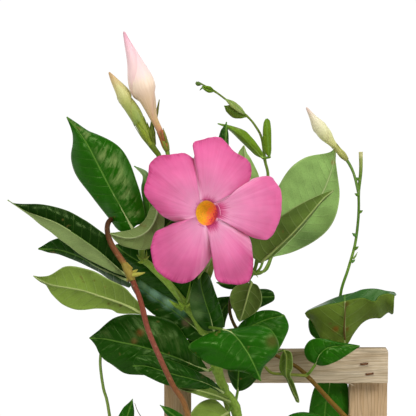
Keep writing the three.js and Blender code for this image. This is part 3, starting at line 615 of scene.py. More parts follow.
def blade(shape):
    """A leaf blade: a grid bent along the midrib, quilted between its veins, then given its thickness."""
    rib, facing = rib_of(shape)
    steps = rib.sampled(40)
    length = sum((b - a).length for a, b in zip(steps, steps[1:]))

    def place(t, s01):
        s = 2 * s01 - 1
        side = 1 if s >= 0 else -1
        spine, ahead = rib.at(t), rib.ahead(t)
        half = shape.ccw if s >= 0 else shape.cw
        step, normal = half_blade(half, side, t, spine, ahead, facing)
        size = step.length
        reach = abs(s) * size
        dome = math.sin(math.pi * abs(s))
        bulge = BLADE_BULGE * size * dome
        phase = BLADE_WAVE_COUNT * t + BLADE_WAVE_OFFSET * side
        wave = BLADE_WAVE * size * s * s * math.sin(2 * math.pi * phase)
        ripple = RIPPLE * size * s ** 4 * math.sin(2 * math.pi * (RIPPLE_COUNT * t + length))
        veins = vein_phase(t * length, reach)
        quilt = QUILTING * dome * min(1, size / QUILTED) * (0.5 - 0.5 * math.cos(2 * math.pi * veins))
        pucker = PUCKER * dome * noise.noise(Vector((t * length, side * reach, length)) * PUCKER_GRAIN)
        groove = GROOVE * math.exp(-(reach / GROOVE_WIDTH) ** 2) * min(1, size / GROOVED)
        lift = shape.face * (bulge + wave + ripple + quilt + pucker - groove)
        point = real(shape, spine + abs(s) * step + lift * normal)
        return point, (t * length / UV_SPAN, side * reach / UV_SPAN)

    rows, columns = (60, 30) if shape.fine else (26, 12)
    obj = shaped_grid(rows, columns, place)
    across = [2 * (i // (rows + 1)) / columns - 1 for i in range((rows + 1) * (columns + 1))]
    marked(obj, "rim", [abs(s) for s in across])
    # How much painted highlight each half shows, fading in from the midrib and out before the margin.
    marked(obj, "painted_sheen", [shape.painted_sheen[s < 0] * smooth(4 * abs(s)) * smooth(3.4 - 4 * abs(s)) for s in across])
    front, back = (UPPER, UNDER)[::shape.face]
    clad(obj, front, back, front)
    turned = [not isinstance(half, tuple) and half.turned for half in (shape.cw, shape.ccw)]
    for polygon in obj.data.polygons:
        polygon.material_index = turned[sum(polygon.vertices) / 4 // (rows + 1) >= columns // 2]
    thickened(obj, BLADE_THICKNESS, offset=0, material_offset=1)
    tinted(obj, upper_tint=shape.tone[0], under_tint=shape.tone[1])
    for x, z, depth, radius, code in shape.spots:
        spotted(obj, seen(x, z, depth), radius * MM, code)
    return obj


def spotted(obj, centre, radius, code):
    """A spot of colour that fades out to its radius, whatever the blade's depth there, alike on both its
    sides: a blemish, or on a few leaves painted highlight or shade.
    """
    stain = Vector(linear(code))
    for layer in (obj.data.color_attributes["upper_tint"], obj.data.color_attributes["under_tint"]):
        for vertex, item in zip(obj.data.vertices, layer.data):
            gap = vertex.co - centre
            share = smooth(1.2 - (gap - gap.dot(SIGHT) * SIGHT).length / radius)
            item.color = Vector(item.color).lerp(stain, STAIN_AND_PAINTED_LIGHT * share)


# The great leaf at the right stands on its stalk and creases: three lines of (x, z) from left to right.
FOLD_LOW = [(19, 452.4), (20.5, 449.8), (22.8, 448.2), (25.3, 444.3), (27.6, 439.8), (29.9, 435.9),
    (35.8, 433.9), (42.2, 432.3), (46.5, 432.6), (50.1, 438.5), (54.4, 444.4), (57.5, 447.2), (60.9, 448.9),
    (65, 449.5), (68.1, 449.5), (70.7, 451.5), (73.3, 453.1), (76.1, 452), (76.7, 457.3)]
FOLD_CREASE = [(19, 452.4), (20.5, 453.7), (22.4, 454.7), (26, 456), (30.6, 457.4), (35.1, 458.5),
    (39.7, 459.2), (43.6, 460.2), (47.4, 461.1), (51.2, 462), (54.6, 462.5), (57.8, 462.4), (60.4, 461.3),
    (63.1, 460.4), (65.3, 460.9), (66.6, 463.2), (69.6, 464.8), (73.5, 465.4), (77.3, 464.1)]
FOLD_TOP = [(19, 452.4), (20.5, 454.1), (22.4, 455.2), (26, 457), (30.6, 459.1), (35.1, 461.2), (39.7, 463),
    (43.6, 464.3), (47.4, 465.2), (51.2, 466.1), (55.4, 467.7), (59.8, 468.4), (64.2, 468.5), (67.9, 468),
    (71.7, 467.1), (74.8, 466.6), (77.2, 466.1), (78.4, 464.5), (77.3, 464.1)]
FOLD_MIDDLE = 45     # x of its midrib
FOLD_FOOT = 430      # z where its vein pattern starts
FOLD_DEPTH = -7      # depth of both its ends
FOLD_END = 0.12      # share of its length over which it opens at either end
FOLD_STAINS = [(39.8, 441.7, 2.6, "#7a4418"), (46, 458.5, 2.4, "#54401a"), (47, 441.5, 2, "#6a441c")]


def folded_leaf():
    """The part below the crease shows its under side, the part beyond it the upper side."""
    halves = []
    for low, high, depths, faces in ((FOLD_LOW, FOLD_CREASE, (6, 0, -6, -10), (UNDER, UPPER)),
                                     (FOLD_CREASE, FOLD_TOP, (-10, -5, 0), (UPPER, UNDER))):
        bottom, top, depth = flat_route(low), flat_route(high), through(depths)

        def place(t, s):
            spot = bottom.at(t).lerp(top.at(t), s)
            open_share = smooth(min(t, 1 - t) / FOLD_END)
            y = FOLD_DEPTH + (depth(s) - FOLD_DEPTH) * open_share
            y += 0.9 * noise.noise(Vector((spot.x, 0, spot.z)) * 0.16) * open_share
            return (seen(spot.x, spot.z, y),
                    ((spot.z - FOLD_FOOT) / UV_SPAN, (FOLD_MIDDLE - spot.x) / UV_SPAN))

        half = clad(shaped_grid(72, 20, place), *faces, faces[0])
        thickened(half, BLADE_THICKNESS, offset=0, material_offset=1)
        halves.append(tinted(half, upper_tint="#28541a", under_tint="#5b7027"))
    for x, z, radius, code in FOLD_STAINS:
        spotted(halves[0], seen(x, z, -9), radius * MM, code)
    return halves


def nearest_on(points, target):
    """The spot of a line through points that lies nearest to target."""
    best = None
    for a, b in zip(points, points[1:]):
        run = b - a
        share = min(1, max(0, (target - a).dot(run) / run.length_squared))
        spot = a + share * run
        if best is None or (spot - target).length < (best - target).length:
            best = spot
    return best


def stalk_and_rib(line, shape, tint):
    """The leaf's stalk, which goes on as the raised midrib under the blade."""
    rib, facing = rib_of(shape)
    base = real(shape, rib.at(0))
    via = [seen(*spot) for spot in shape.via]
    foot = seen(*shape.foot) if shape.foot else nearest_on(line, via[0] if via else base)
    taper = [shape.stalk * share for share in (1.15, 0.9, 0.8)]
    stalk = tube(Route([foot, *via, base]).sampled(10), taper, BARK)
    ridge = [base] + [real(shape, rib.at(RIDGE_RUN * i / 14) - shape.face * facing * RIDGE_DROP)
                      for i in range(1, 15)]
    keel = tube(ridge, [*[shape.stalk * share for share in (0.8, 0.55, 0.4, 0.3)], 0.15], BARK, 6)
    return foot, [tinted(stalk, stem_tint=tint), tinted(keel, stem_tint=shape.tone[2])]


# ---- Vines ----

def root_route(x, y):
    return [Vector((x, y, SOIL_LEVEL - ROOT_DEPTH + SEAT_GAP)) * MM, Vector((x, y, SOIL_LEVEL + 3)) * MM]


def line_of(root, low, high):
    """A vine's line: its foot in the soil, its low points (x, y, z), then its points on the elevation."""
    return root_route(*root) + [Vector(point) * MM for point in low] + [seen(*point) for point in high]


GREEN_LINE = line_of((-14, -30), [(-26, -33, 195), (-12, -36, 245), (-30, -38, 295), (-22, -38, 340)], [
    (-25, 386, -34), (-33, 401, -35), (-38, 416, -36), (-43, 431, -38), (-50, 446, -40), (-57, 456, -42),
    (-69, 471, -46), (-81, 483, -50), (-87, 490, -52), (-85, 506, -51), (-79, 524, -50), (-73, 540, -48),
    (-68, 553, -46)])
RED_LINE = line_of((-44, -40), [(-52, -46, 195), (-40, -56, 245), (-48, -66, 295), (-46, -74, 340)], [
    (-57, 386, -79), (-67, 406, -80), (-75, 423, -82), (-83, 442, -83), (-88, 461, -80), (-94, 476, -72),
    (-98, 484, -70), (-106.5, 497, -67), (-109.5, 506.5, -61), (-108.2, 512.5, -54), (-104.5, 513.8, -48),
    (-100, 511, -42)])
BROWN_LINE = line_of((42, -24), [(50, -27, 200), (40, -24, 260), (52, -22, 320)], [
    (51, 377.5, -16), (45.5, 384.8, -15), (35, 396, -14), (25, 407, -14), (16, 416, -14), (8, 421, -17),
    (-3, 427, -23), (-14, 433, -28), (-25, 442, -31), (-30, 455, -32), (-27, 467, -33), (-19, 473, -34),
    (-13, 483, -34), (-11, 500, -33), (-8, 522, -32), (-5, 541, -31), (-7, 552, -30), (-9, 566, -29),
    (-13, 574, -29), (-19, 581, -29), (-33, 592, -30), (-40, 597, -32), (-49, 602, -34)])
RIGHT_LINE = line_of((34, 34), [(26, 36, 200), (36, 33, 260), (30, 34, 330)], [
    (36, 386, 28), (39, 410, 25), (41, 436, 19), (42, 464, 8), (47, 481, 3), (51.5, 497, 1), (53.5, 512, 0),
    (54, 522, 0), (54, 532, 0), (55.3, 545, 0), (55.3, 557.5, 0)])
THIN_LINE = line_of((-70, -30), [(-84, -36, 200), (-92, -40, 260), (-98, -42, 320)], [
    (-108, 386, -40), (-112, 404, -41), (-114, 419, -43), (-113.5, 429, -44)])
BACK_LINE = line_of((-26, 44), [(-36, 45, 200), (-22, 44, 260), (-34, 42, 320), (-30, 40, 372),
                                (-40, 36, 405)], [])

GREEN_LEAVES = [
    # Great dark leaf at the upper left, and the narrow tip between it and the bloom.
    leaf([(-93, 507.4, -58), (-101.4, 523, -55), (-107.9, 534.7, -52), (-116.3, 550.9, -49),
          (-122.2, 562, -46), (-128.7, 571.7, -43), (-135.8, 580.2, -40)],
         margin(7, [(-97.5, 505.7), (-102, 506.7), (-107.2, 513.2), (-114.4, 522.3), (-120.9, 530.8),
            (-127.4, 539.2), (-130.7, 545.1), (-132.6, 552.2), (-132.6, 557.4), (-131.6, 563.2),
            (-131.9, 569.8), (-133.9, 575.6)]),
         margin(2, [(-91, 510), (-87.8, 510), (-84.8, 513.2), (-85.5, 519.7), (-87.8, 529.5), (-91, 539.2),
            (-94.2, 548.3), (-98.2, 556.1), (-102.7, 561.3), (-108.5, 565.2), (-115.7, 568.5),
            (-122.2, 571.1), (-128.7, 575.6)]), DEEP, painted_sheen=(0, 1)),
    leaf([(-81.3, 511.9, -54), (-81.9, 523, -52.5), (-83.9, 532.7, -51), (-85.2, 540.5, -50),
          (-92, 548.3, -48)],
         margin(2, [(-84.2, 512.7), (-86.1, 525.7), (-87.1, 534), (-86.1, 539.9), (-87.1, 544)]),
         margin(3, [(-76.7, 516.5), (-77.4, 526.2), (-81.9, 539.2), (-83.9, 544.4)]),
         SHADED, spots=[(-87, 544, -49, 7, "#6c8454")]),
    # Grey-green leaf seen from below, curving left from behind the bloom.
    leaf([(-76.7, 526.2, -56), (-77.4, 516.5, -59), (-81.9, 507.4, -62), (-89.7, 502.2, -65),
          (-98.2, 501.5, -65.2), (-107.9, 504.4, -64)],
         margin(2, [(-72.8, 516.5), (-73.5, 505.4), (-78.7, 497), (-86.5, 494), (-94.9, 495.3),
            (-102, 497.9)]),
         margin(4, [(-81.2, 521), (-84.5, 513.9), (-89.7, 509), (-96.2, 506.1), (-102.7, 505.2)]),
         GREY, face=-1),
    # Two dark leaves behind the red stem.
    leaf([(-55.9, 456, -43), (-67.6, 471, -40.8), (-81.9, 482, -38.5), (-96.2, 490.5, -36), (-104, 497, -33)],
         margin(4, [(-63.7, 459.9), (-75.4, 466.4), (-87.1, 474.2), (-96.2, 483.3), (-102.7, 491.8)]),
         margin(3, [(-50.1, 461.2), (-48.1, 468.4), (-52, 475.5), (-61.1, 483.3), (-71.5, 491.8),
            (-83.2, 497.6), (-94.9, 499.6)]), DARK),
    leaf([(-46.2, 437.8, -42), (-57.2, 446.9, -38.4), (-68.9, 456, -35.6), (-80.6, 463.8, -34.4),
          (-91, 471.6, -34), (-95.5, 476.8, -34)],
         margin(-3, [(-54.6, 435.2), (-63.7, 440.4), (-72.2, 446.9), (-81.9, 454.1), (-89, 461.9),
            (-93.6, 469.7)]),
         margin(5, [(-44.8, 445), (-49.4, 453.4), (-58.5, 460.6), (-68.9, 467.1), (-80.6, 473.6),
            (-89.7, 477.5)]),
         # Its pale blue-green spots along the lower half are a painted highlight, a band of gloss; the brown
         # spot near its foot is a dry patch.
         DARK, foot=(-38, 416, -36), painted_sheen=(0, 0.6), spots=[(-86, 470, -34, 5, "#5c8c6c"),
         (-78, 466, -34, 6, "#84b094"), (-69, 460.5, -35, 6, "#80aa8c"), (-61, 454, -36, 5, "#54805e"),
         (-58, 447, -36, 3.5, "#6e5c46")]),
    # Folded leaf rising in the centre.
    leaf([(-40.3, 441.1, -48), (-42.9, 451.5, -53), (-45.8, 460.1, -57), (-48.4, 469.7, -60),
          (-49.1, 480.1, -60)],
         margin(-4, [(-46.2, 441.7), (-50.7, 446.2), (-54.3, 452.6), (-55.6, 459.9), (-54.9, 467.7),
            (-52.7, 474.2)]),
         margin(7, [(-36.4, 441.1), (-34.1, 444.3), (-34.3, 449.3), (-36.9, 459.1), (-39.7, 466.6),
            (-42.2, 473.9), (-44.8, 478.8)]),
         # Its two paler spots on the left half are a painted highlight, the gloss of its wrinkled blade.
         DARK, spots=[(-53, 462, -58, 6, "#4c6838"), (-51, 452, -56, 5, "#55703e")]),
    # Broad bright leaf at the front, its lobe running back past its stalk.
    leaf([(-34.4, 442, -66), (-28.6, 439.8, -68.6), (-23.4, 434.6, -71.2), (-20.2, 430, -73.6),
          (-17.6, 426.1, -75.5), (-15.6, 422.2, -77.4), (-13, 417, -77), (-11.4, 413.1, -75.5),
          (-9.4, 408.6, -74)],
         margin(6, [(-28.6, 442.4), (-22.1, 443), (-16.9, 444), (-11.7, 444.3), (-7.2, 443.7), (-3.2, 441.7),
            (-0.7, 438.5), (1.3, 434.6), (1.9, 430.7), (0.7, 426.8), (-2.6, 423.2), (-6.5, 419.6),
            (-9.1, 415.7), (-10.1, 411.8)]),
         margin(5, [(-39, 440.7), (-44.2, 439.1), (-49.4, 436.5), (-54, 433.9), (-56.9, 430.7), (-52, 425.5),
            (-47.4, 422.2), (-42.9, 419.6), (-37.1, 417.7), (-29.9, 415.7), (-23.4, 415.1), (-18.2, 413.8),
            (-14.3, 411.8), (-11.7, 409.5)]), BRIGHT, spots=[(-2, 434, -76, 5, "#4a4a1c")]),
    # Broad dark leaf at the lower left, and the one in front of it.
    leaf([(-43.6, 415.1, -42), (-52.7, 418.6, -44.2), (-62.4, 422.9, -46.5), (-72.2, 426.4, -48.5),
          (-81.9, 429.4, -50), (-91.7, 432, -51.5), (-101.4, 433.9, -52.5), (-111.2, 435.9, -53.2),
          (-121.2, 436.5, -54)],
         margin(-1, [(-52.7, 414.4), (-62.4, 413.8), (-72.2, 412.5), (-81.9, 412.5), (-90.4, 412.8),
            (-94.9, 413.1), (-99.5, 414.4), (-102.7, 416.7), (-106.6, 419.6), (-111.2, 422.5),
            (-114.4, 426.1), (-117.3, 432.3)]),
         margin(6, [(-48.1, 421.6), (-52.7, 428.4), (-57.2, 434.6), (-60.5, 439.8), (-63.7, 444.3),
            (-68.9, 447.9), (-75.4, 449.8), (-81.9, 451.1), (-88.4, 451.5), (-94.9, 451.8), (-99.5, 451.1),
            (-105.3, 449.2), (-109.9, 445.9), (-114.4, 441.7), (-117.7, 439.1)]),
         DARK, spots=[(-88, 440, -52, 3, "#6a3a1c"), (-92, 434.5, -52, 2.4, "#5e3a1a")], painted_sheen=(0, 0.3)),
    leaf([(-33.8, 400.8, -46), (-44.2, 406.6, -53), (-54.6, 409.9, -60), (-65, 412.5, -63),
          (-75.4, 415.7, -66), (-84.5, 418.3, -65), (-93, 418.3, -64)],
         margin(-4, [(-41.6, 401.7), (-49.4, 403.4), (-57.2, 404), (-65.7, 405), (-72.2, 406.6),
            (-77.4, 408.6), (-81.9, 410.8), (-85.8, 412.8), (-89.7, 414.7)]),
         margin(3, [(-40.3, 407.9), (-46.8, 412.1), (-53.3, 415.7), (-61.1, 419), (-68.9, 421.9),
            (-76.7, 423.8), (-84.5, 425.1), (-90.4, 424.2), (-91.7, 421.6)]), DARK),
    # Pale undersides below it.
    leaf([(-30, 395, -44), (-40, 399.5, -56), (-53, 403, -58), (-68, 406, -56)], (3, -3), (3.4, 4),
         ("#3c6a1c", "#5c7030", "#93a45c"), face=-1),
    leaf([(-31, 388, -44), (-37, 384, -52), (-46, 375, -57), (-59, 360, -56)], (13, 2), (16, -2, 0.36),
         OLIVE, face=-1),
    # Two that fill in behind the petals.
    leaf([(-82, 495, -52), (-75, 504.5, -51), (-66.3, 514.5, -49), (-57, 523, -47)], (6, 1), (7, 1),
         DARK, fine=False),
    leaf([(-48, 464, -46), (-46.5, 474, -48), (-43.5, 484, -50), (-40, 495, -50)], (5, 1), (4, 1),
         OLIVE, face=-1, fine=False),
    # One that fills in behind the bright leaf's stalk.
    leaf([(-31.5, 441.2, -35), (-45, 434.6, -35.5), (-61.5, 429.5, -37)], (3, 1), (7.5, 1), DARK, fine=False),
    # Upright dark leaf behind the bright one.
    leaf([(-24.7, 402, -17), (-24, 415, -16), (-22, 426, -17), (-21, 438, -19)], (8, 3), (13, 2, 0.4),
         DARK, foot=(-27, 390, -34)),
]
RED_LEAVES = [
    # Long leaf folded along its midrib, and the dark one behind it.
    leaf([(-96.9, 476.8, -68), (-102.7, 482, -65), (-114.4, 492.4, -63), (-124.2, 499.6, -62),
          (-133.9, 506.1, -60), (-143.7, 511.6, -58), (-153.4, 515.2, -56), (-163.2, 519.1, -53.4),
          (-174.2, 526.2, -50)],
         margin(-9, [(-102.7, 478.4), (-107.9, 480.7), (-114.4, 484), (-120.9, 487.2), (-127.4, 491.1),
            (-133.9, 496.3), (-140.4, 500.9), (-146.9, 506.1), (-152.1, 509.6), (-158, 514.8),
            (-163.2, 518.7), (-168.3, 522.3)], turned=True),
         margin(1, [(-98.8, 485.9), (-104, 496.3), (-110.5, 503.1), (-114.4, 506.1), (-120.9, 510.9),
            (-127.4, 514.8), (-133.9, 518.4), (-140.4, 520.7), (-146.9, 522.3), (-153.4, 523.3),
            (-159.9, 523.4), (-166.4, 523.5), (-171.6, 524.2)]), ("#082601", "#6a7a48", "#a9b878")),
    leaf([(-95.5, 473.6, -68), (-114.4, 482, -54.5), (-127.4, 489.2, -45), (-140.4, 493.7, -38.5),
          (-154.4, 494.4, -34)],
         margin(2, [(-94, 469.4), (-97.4, 470.4), (-102, 471.8), (-108, 474.9), (-114.4, 479.4),
            (-120.9, 482.7), (-127.4, 485.9), (-133.9, 488.5), (-141.7, 491.4), (-148.2, 492.4)]),
         margin(4, [(-97, 478.6), (-106.6, 482.6), (-115.7, 489.8), (-124.8, 496.3), (-132.6, 500.2),
            (-140.4, 501.2), (-145.6, 499.6), (-150.2, 497)]), DARK),
    # Broad leaf seen from below, and a small tip over the left upright.
    leaf([(-86.5, 452.1, -80), (-94.9, 456.7, -78.9), (-104.7, 460.6, -77.8), (-114.4, 463.8, -76.5),
          (-124.2, 467.1, -75), (-133.9, 469, -73.5), (-143.7, 470.6, -71.2), (-151.5, 473.2, -68.6),
          (-157.6, 476.8, -66)],
         margin(3, [(-92.3, 452.4), (-98.2, 452.4), (-102.7, 452.8), (-106.6, 455), (-112.5, 455.7),
            (-117.7, 455.7), (-124.2, 454.9), (-129.3, 455), (-133.9, 456.3), (-139.1, 458.9),
            (-143.7, 463.2), (-146.9, 467.1), (-148.8, 471), (-152.1, 472.6), (-155.3, 474.9)]),
         margin(-3, [(-89, 459), (-93, 463.4), (-97, 468), (-101.4, 471), (-107.9, 474), (-114.4, 477.8),
            (-119, 479.9), (-124.2, 481.4), (-130, 482.7), (-135.2, 483), (-139.1, 482), (-142.3, 479.7),
            (-146.9, 477.1), (-151.5, 476.2), (-154.7, 476.2)]),
         OLIVE, face=-1, spots=[(-98, 463, -77, 13, "#5e7030"), (-108.5, 458.6, -76, 1.2, "#4a3c18"),
         (-100.8, 457.9, -76, 1.3, "#4a3c18"), (-96.2, 457.6, -77, 1, "#4a3c18"),
         (-124.8, 472.9, -75, 1, "#5c5a1c"), (-120.2, 479.4, -75, 0.9, "#5c5a1c"),
         (-118, 474, -75, 0.9, "#5c5a1c")]),
    leaf([(-52, 374, -72), (-62, 383, -69), (-75.4, 393, -66)], (3, 1), (3.5, 1), BRIGHT, fine=False),
]
BROWN_LEAVES = [
    # Dark leaf behind the bright front one, its tip turned up.
    leaf([(-31.2, 435.2, -36), (-22.1, 441.1, -39), (-13, 445.6, -40), (-3.9, 449.2, -39), (5.8, 451.1, -36)],
         margin(2, [(-26.7, 440.4), (-22.8, 445.6), (-17.6, 450.5), (-11.7, 453.4), (-5.8, 454.5),
            (0.7, 453.7)]),
         margin(-4, [(-23.4, 428.7), (-13, 424.2), (-3.9, 424.2), (1.9, 429.4), (5.8, 436.5), (8.3, 443),
            (7.5, 447.9)]), DEEP),
    # Round leaf seen from below, and the dark ones behind it.
    leaf([(-15.6, 472.2, -40), (-17.6, 466.4, -44.5), (-19.5, 459.2, -47), (-21.4, 452.8, -47.5),
          (-23.4, 447.2, -46)],
         margin(-2, [(-12.3, 471), (-10.1, 467.1), (-9.1, 461.9), (-10.1, 457.3), (-13, 453.4),
            (-17.6, 450.2), (-21.4, 448.2)]),
         margin(3, [(-20.8, 471.9), (-26, 470), (-28.9, 466.1), (-29.6, 461.2), (-28.3, 456.7),
            (-26.3, 452.8), (-25, 449.5)]), SHADED, face=-1),
    leaf([(-21.4, 463.8, -30), (-13.7, 463.2, -25), (-0.7, 463.5, -22)],
         margin(2, [(-16.9, 467.1), (-11.7, 468), (-5.8, 468), (-1.9, 466.4)]),
         margin(2, [(-18.8, 457.3), (-14.3, 454.7), (-9.8, 456.7), (-5.2, 458.9), (-1.3, 461.2)]),
         DARK, fine=False),
    leaf([(-21, 473, -29), (-30, 471.8, -28), (-38.5, 472.5, -27)], (3.6, 1, 0.4), (3, 1), DARK, fine=False),
    leaf([(-22, 463, -29), (-30.5, 459.5, -27), (-35, 453, -26), (-33.6, 443.4, -24)],
         margin(1, [(-25, 457), (-29.3, 455.6), (-30.9, 453.4), (-32.3, 449)]),
         margin(1, [(-30, 463.4), (-38.5, 462), (-40, 456), (-38.5, 450), (-36, 446)]), DARK, fine=False),
    # Great pale underside at the right, and the folded olive leaf in front of it.
    leaf([(-2.6, 489.2, -26), (9.1, 500.2, -20), (20.8, 513.2, -14), (29.9, 529.5, -8), (36.4, 545.7, -2.8),
          (39.3, 560.7, 2)],
         margin(5, [(-5.8, 497), (-7.2, 508), (-3.9, 523), (1.9, 534.7), (7.5, 544.1), (14, 550.6),
            (21.4, 554.5), (29.9, 556.1), (35.8, 557.4)]),
         margin(-4, [(4.6, 490.8), (12.3, 493.1), (23.4, 498.6), (33.2, 506.4), (39, 516.5), (41.3, 528.8),
            (40.6, 537.9), (39.3, 547), (38.7, 554.8)]),
         # Its two broad darker spots at the lower right are painted shade; the small brown one near the tip
         # is a blemish.
         PALE, face=-1, via=[(-12, 479, -32), (-6, 481, -30)], spots=[(37.2, 550.5, 1, 1.6, "#8a4a2c"),
         (33, 511, -10, 14, "#627c40"), (20, 500, -14, 13, "#56703a")]),
    leaf([(-9.1, 485.9, -38), (0, 494.4, -40), (9.8, 503.5, -42), (19.5, 513.9, -41), (27.3, 523, -40),
          (32.5, 528.5, -37), (37.7, 532.4, -34)],
         margin(-5, [(-15.5, 489), (-20, 496), (-21, 503), (-15, 508), (-4, 511.5), (4.6, 516.1),
            (12.3, 521.3), (22.1, 526.5), (31.2, 530.4)]),
         margin(4, [(-2.6, 489.2), (4.6, 496), (13.7, 505.1), (21.4, 514.2), (27.9, 522.3), (33.2, 527.8)]),
         SHADED, face=-1),
    # Young pair of leaves at the upper joint.
    leaf([(-8.4, 553.5, -33), (-15.6, 561.5, -36.8), (-21.5, 567.5, -39), (-29, 572.2, -39.5),
          (-37.7, 575.9, -38)],
         margin(4, [(-13, 555.6), (-17.5, 559.8), (-23.4, 565.5), (-28.6, 570.6), (-33, 573.8)]),
         margin(3, [(-8.8, 557), (-13.5, 564), (-17, 568), (-20.6, 571.2), (-28, 573.9)]), YOUNG),
    leaf([(-3.9, 554.2, -31), (-4.9, 563.2, -33), (-5.5, 571.7, -34), (-5.8, 578.9, -33)],
         margin(1, [(-6.5, 556.8), (-7.9, 562.6), (-8.1, 569.8), (-7.8, 575.6), (-6.8, 578.2)],
            tip=(-5.8, 579.2)),
         margin(1, [(-3.1, 558.7), (-3.1, 565.2), (-3.2, 571.7), (-3.7, 576.9), (-4.6, 578.5)],
            tip=(-5.8, 579.2)), YOUNG, via=[(-4, 554, -30)], stalk=0.8, fine=False),
    # Folded young leaves near the growing tip.
    leaf([(-20, 582, -30), (-26, 587.5, -36), (-33, 592, -37)], (2.4, -2), (1.6, 2),
         ("#84934e", "#84934e", "#a9b878"), stalk=0.6, fine=False),
    leaf([(-20, 580, -29), (-27, 583.2, -32), (-33.5, 587.5, -33)], (3.2, 2), (4.4, -1),
         ("#5c6e22", "#6c7c2c", "#a9b878"), stalk=0.6, fine=False),
    leaf([(-40, 597, -32), (-43, 598, -35), (-48, 600, -36)], (2, 1), (2, -1), YOUNG, stalk=0.7, fine=False),
    # Leaves whose tips show above the bloom.
    leaf([(-31, 546, -50), (-32.5, 561, -48), (-32, 577, -43)], (5, 2), (2, 1), DARK, foot=(-8, 522, -32)),
    leaf([(-18, 526, -44), (-16.8, 542, -44), (-19.6, 553, -43), (-20.7, 561.6, -42)],
         margin(2, [(-22, 530), (-23, 540), (-22.6, 547), (-23, 553), (-24.2, 556.5)]),
         margin(2, [(-12, 530), (-10.9, 540), (-12.4, 545.2), (-15.9, 552.2), (-19.2, 557.4)]),
         PALE, face=-1, foot=(-11, 500, -33)),
    # Folded leaf hanging over the rail, and the heart-shaped one on it.
    leaf([(5.3, 428.7, -30), (6.9, 424, -31), (6.8, 417, -33), (6.9, 412.4, -35), (9.4, 406.6, -36),
          (12.6, 399.2, -36), (15.1, 394.6, -35)],
         margin(-3, [(9.4, 427.4), (10.6, 423.6), (10.7, 416.8), (9.1, 412.5), (11.2, 408.1), (14.5, 398.3)]),
         margin(3, [(3.2, 423.5), (2.5, 417.3), (4.2, 413), (7, 410.3), (9.6, 403.8), (13.3, 395.6)]),
         ("#3c6a1c", "#5c742a", "#7c8e40"), face=-1, stalk=0.8),
    leaf([(26, 419.6, -19), (28.9, 426.1, -21.2), (34.4, 430.3, -23), (43.6, 431.6, -23.2),
          (54.6, 431.3, -21)],
         margin(2, [(21.1, 422.2), (18.8, 427.1), (19.5, 431.3), (22.1, 434.6), (26, 436), (33.2, 435.4),
            (41.6, 433.4), (48.1, 432.4)]),
         margin(-2, [(28.6, 418.6), (33.2, 419), (39.7, 421.6), (44.8, 424.6), (48.8, 427.2), (52, 429.5)]),
         DEEP, via=[(22, 414, -17)]),
    # Leaf below the rail, its edge level with the eye.
    leaf([(38, 374, -30), (27, 380, -35), (13, 381, -37), (0, 374, -35)], (6, 3), (7, 3), BRIGHT, fine=False),
]
RIGHT_LEAVES = [
    leaf([(33, 434, 12), (26, 442, 8), (23, 452, 6)], (4, 2), (5, 2), BRIGHT, fine=False),
    # Dark leaf hanging behind the rail.
    leaf([(35.8, 414.4, 19), (34.4, 401.4, 17.5), (32.5, 393, 16.5), (31.2, 376.7, 16.5), (29.9, 367, 18)],
         margin(2, [(42.9, 411.8), (46.5, 406), (47.1, 397.5), (47.1, 388.4), (44.8, 376.7), (38.3, 368.9)]),
         margin(2, [(29.9, 410.5), (25.3, 404), (23.1, 396.2), (21.8, 386.5), (22.1, 376.7), (24.7, 370.2)]),
         ("#245f0c", "#74855a", "#a9b878")),
]
THIN_LEAVES = [
    leaf([(-100, 360, -46), (-100, 372, -50), (-97, 384, -52), (-93, 397, -50)], (6, 2), (5, 3), BRIGHT),
]

# Lower leaves stand in pairs at joints up the stem, on either side of a heading in degrees.
LOWER_JOINTS = {
    "green": ([212, 268, 322], -78, 18),
    "red": ([200, 252, 304], -128, 22),
    "brown": ([204, 256, 308, 352], -22, 30),
    "right": ([212, 264, 318], 52, 30),
    "thin": ([232, 290], 172, 24),
    "back": ([210, 272, 336], 118, 30),
}
LOWER_LENGTH = (58, 76)
LOWER_WIDTH = 0.25
LOWER_STALK = 16
DRAW_MODULUS = 2147483647
draw = 41


def park_miller(low, high):
    global draw
    draw = draw * 16807 % DRAW_MODULUS
    return low + (high - low) * draw / DRAW_MODULUS


def lower_leaves(line, key):
    heights, heading, spread = LOWER_JOINTS[key]
    leaves = []
    for height in heights:
        joint = nearest_on(line, Vector((line[3].x, line[3].y, height * MM))) / MM
        for side in (-1, 1):
            angle = math.radians(heading + side * spread + park_miller(-8, 8))
            length = park_miller(*LOWER_LENGTH)
            rise = park_miller(4, 14)
            droop = park_miller(6, 22)
            rib = [(joint.x + math.cos(angle) * reach, joint.z + up, joint.y + math.sin(angle) * reach)
                   for reach, up in ((LOWER_STALK, rise), (LOWER_STALK + 0.4 * length, rise + 7),
                                     (LOWER_STALK + 0.75 * length, rise + 1),
                                     (LOWER_STALK + 0.98 * length, rise - droop))]
            half = (LOWER_WIDTH * length, -2)
            skin = (DEEP, DARK, BRIGHT)[len(leaves) % 3]
            leaves.append(leaf(rib, half, half, skin, rising=True, fine=False))
    return leaves


STALK_GREEN, STALK_RED = "#64842f", "#84663a"
JOINT_SWELLING = 0.25
JOINT_REACH = 2


def spray(route, radii, code):
    return tinted(tube(seen_route(route).sampled(12), radii, BARK), stem_tint=code)


def spike(x, z, depth, dx, dz, radius, code):
    """A small pointed outgrowth, from its foot on the stem."""
    return spray([(x, z, depth), (x + 0.55 * dx, z + 0.45 * dz, depth - 0.6), (x + dx, z + dz, depth - 1)],
                 [radius, 0.8 * radius, 0.12], code)


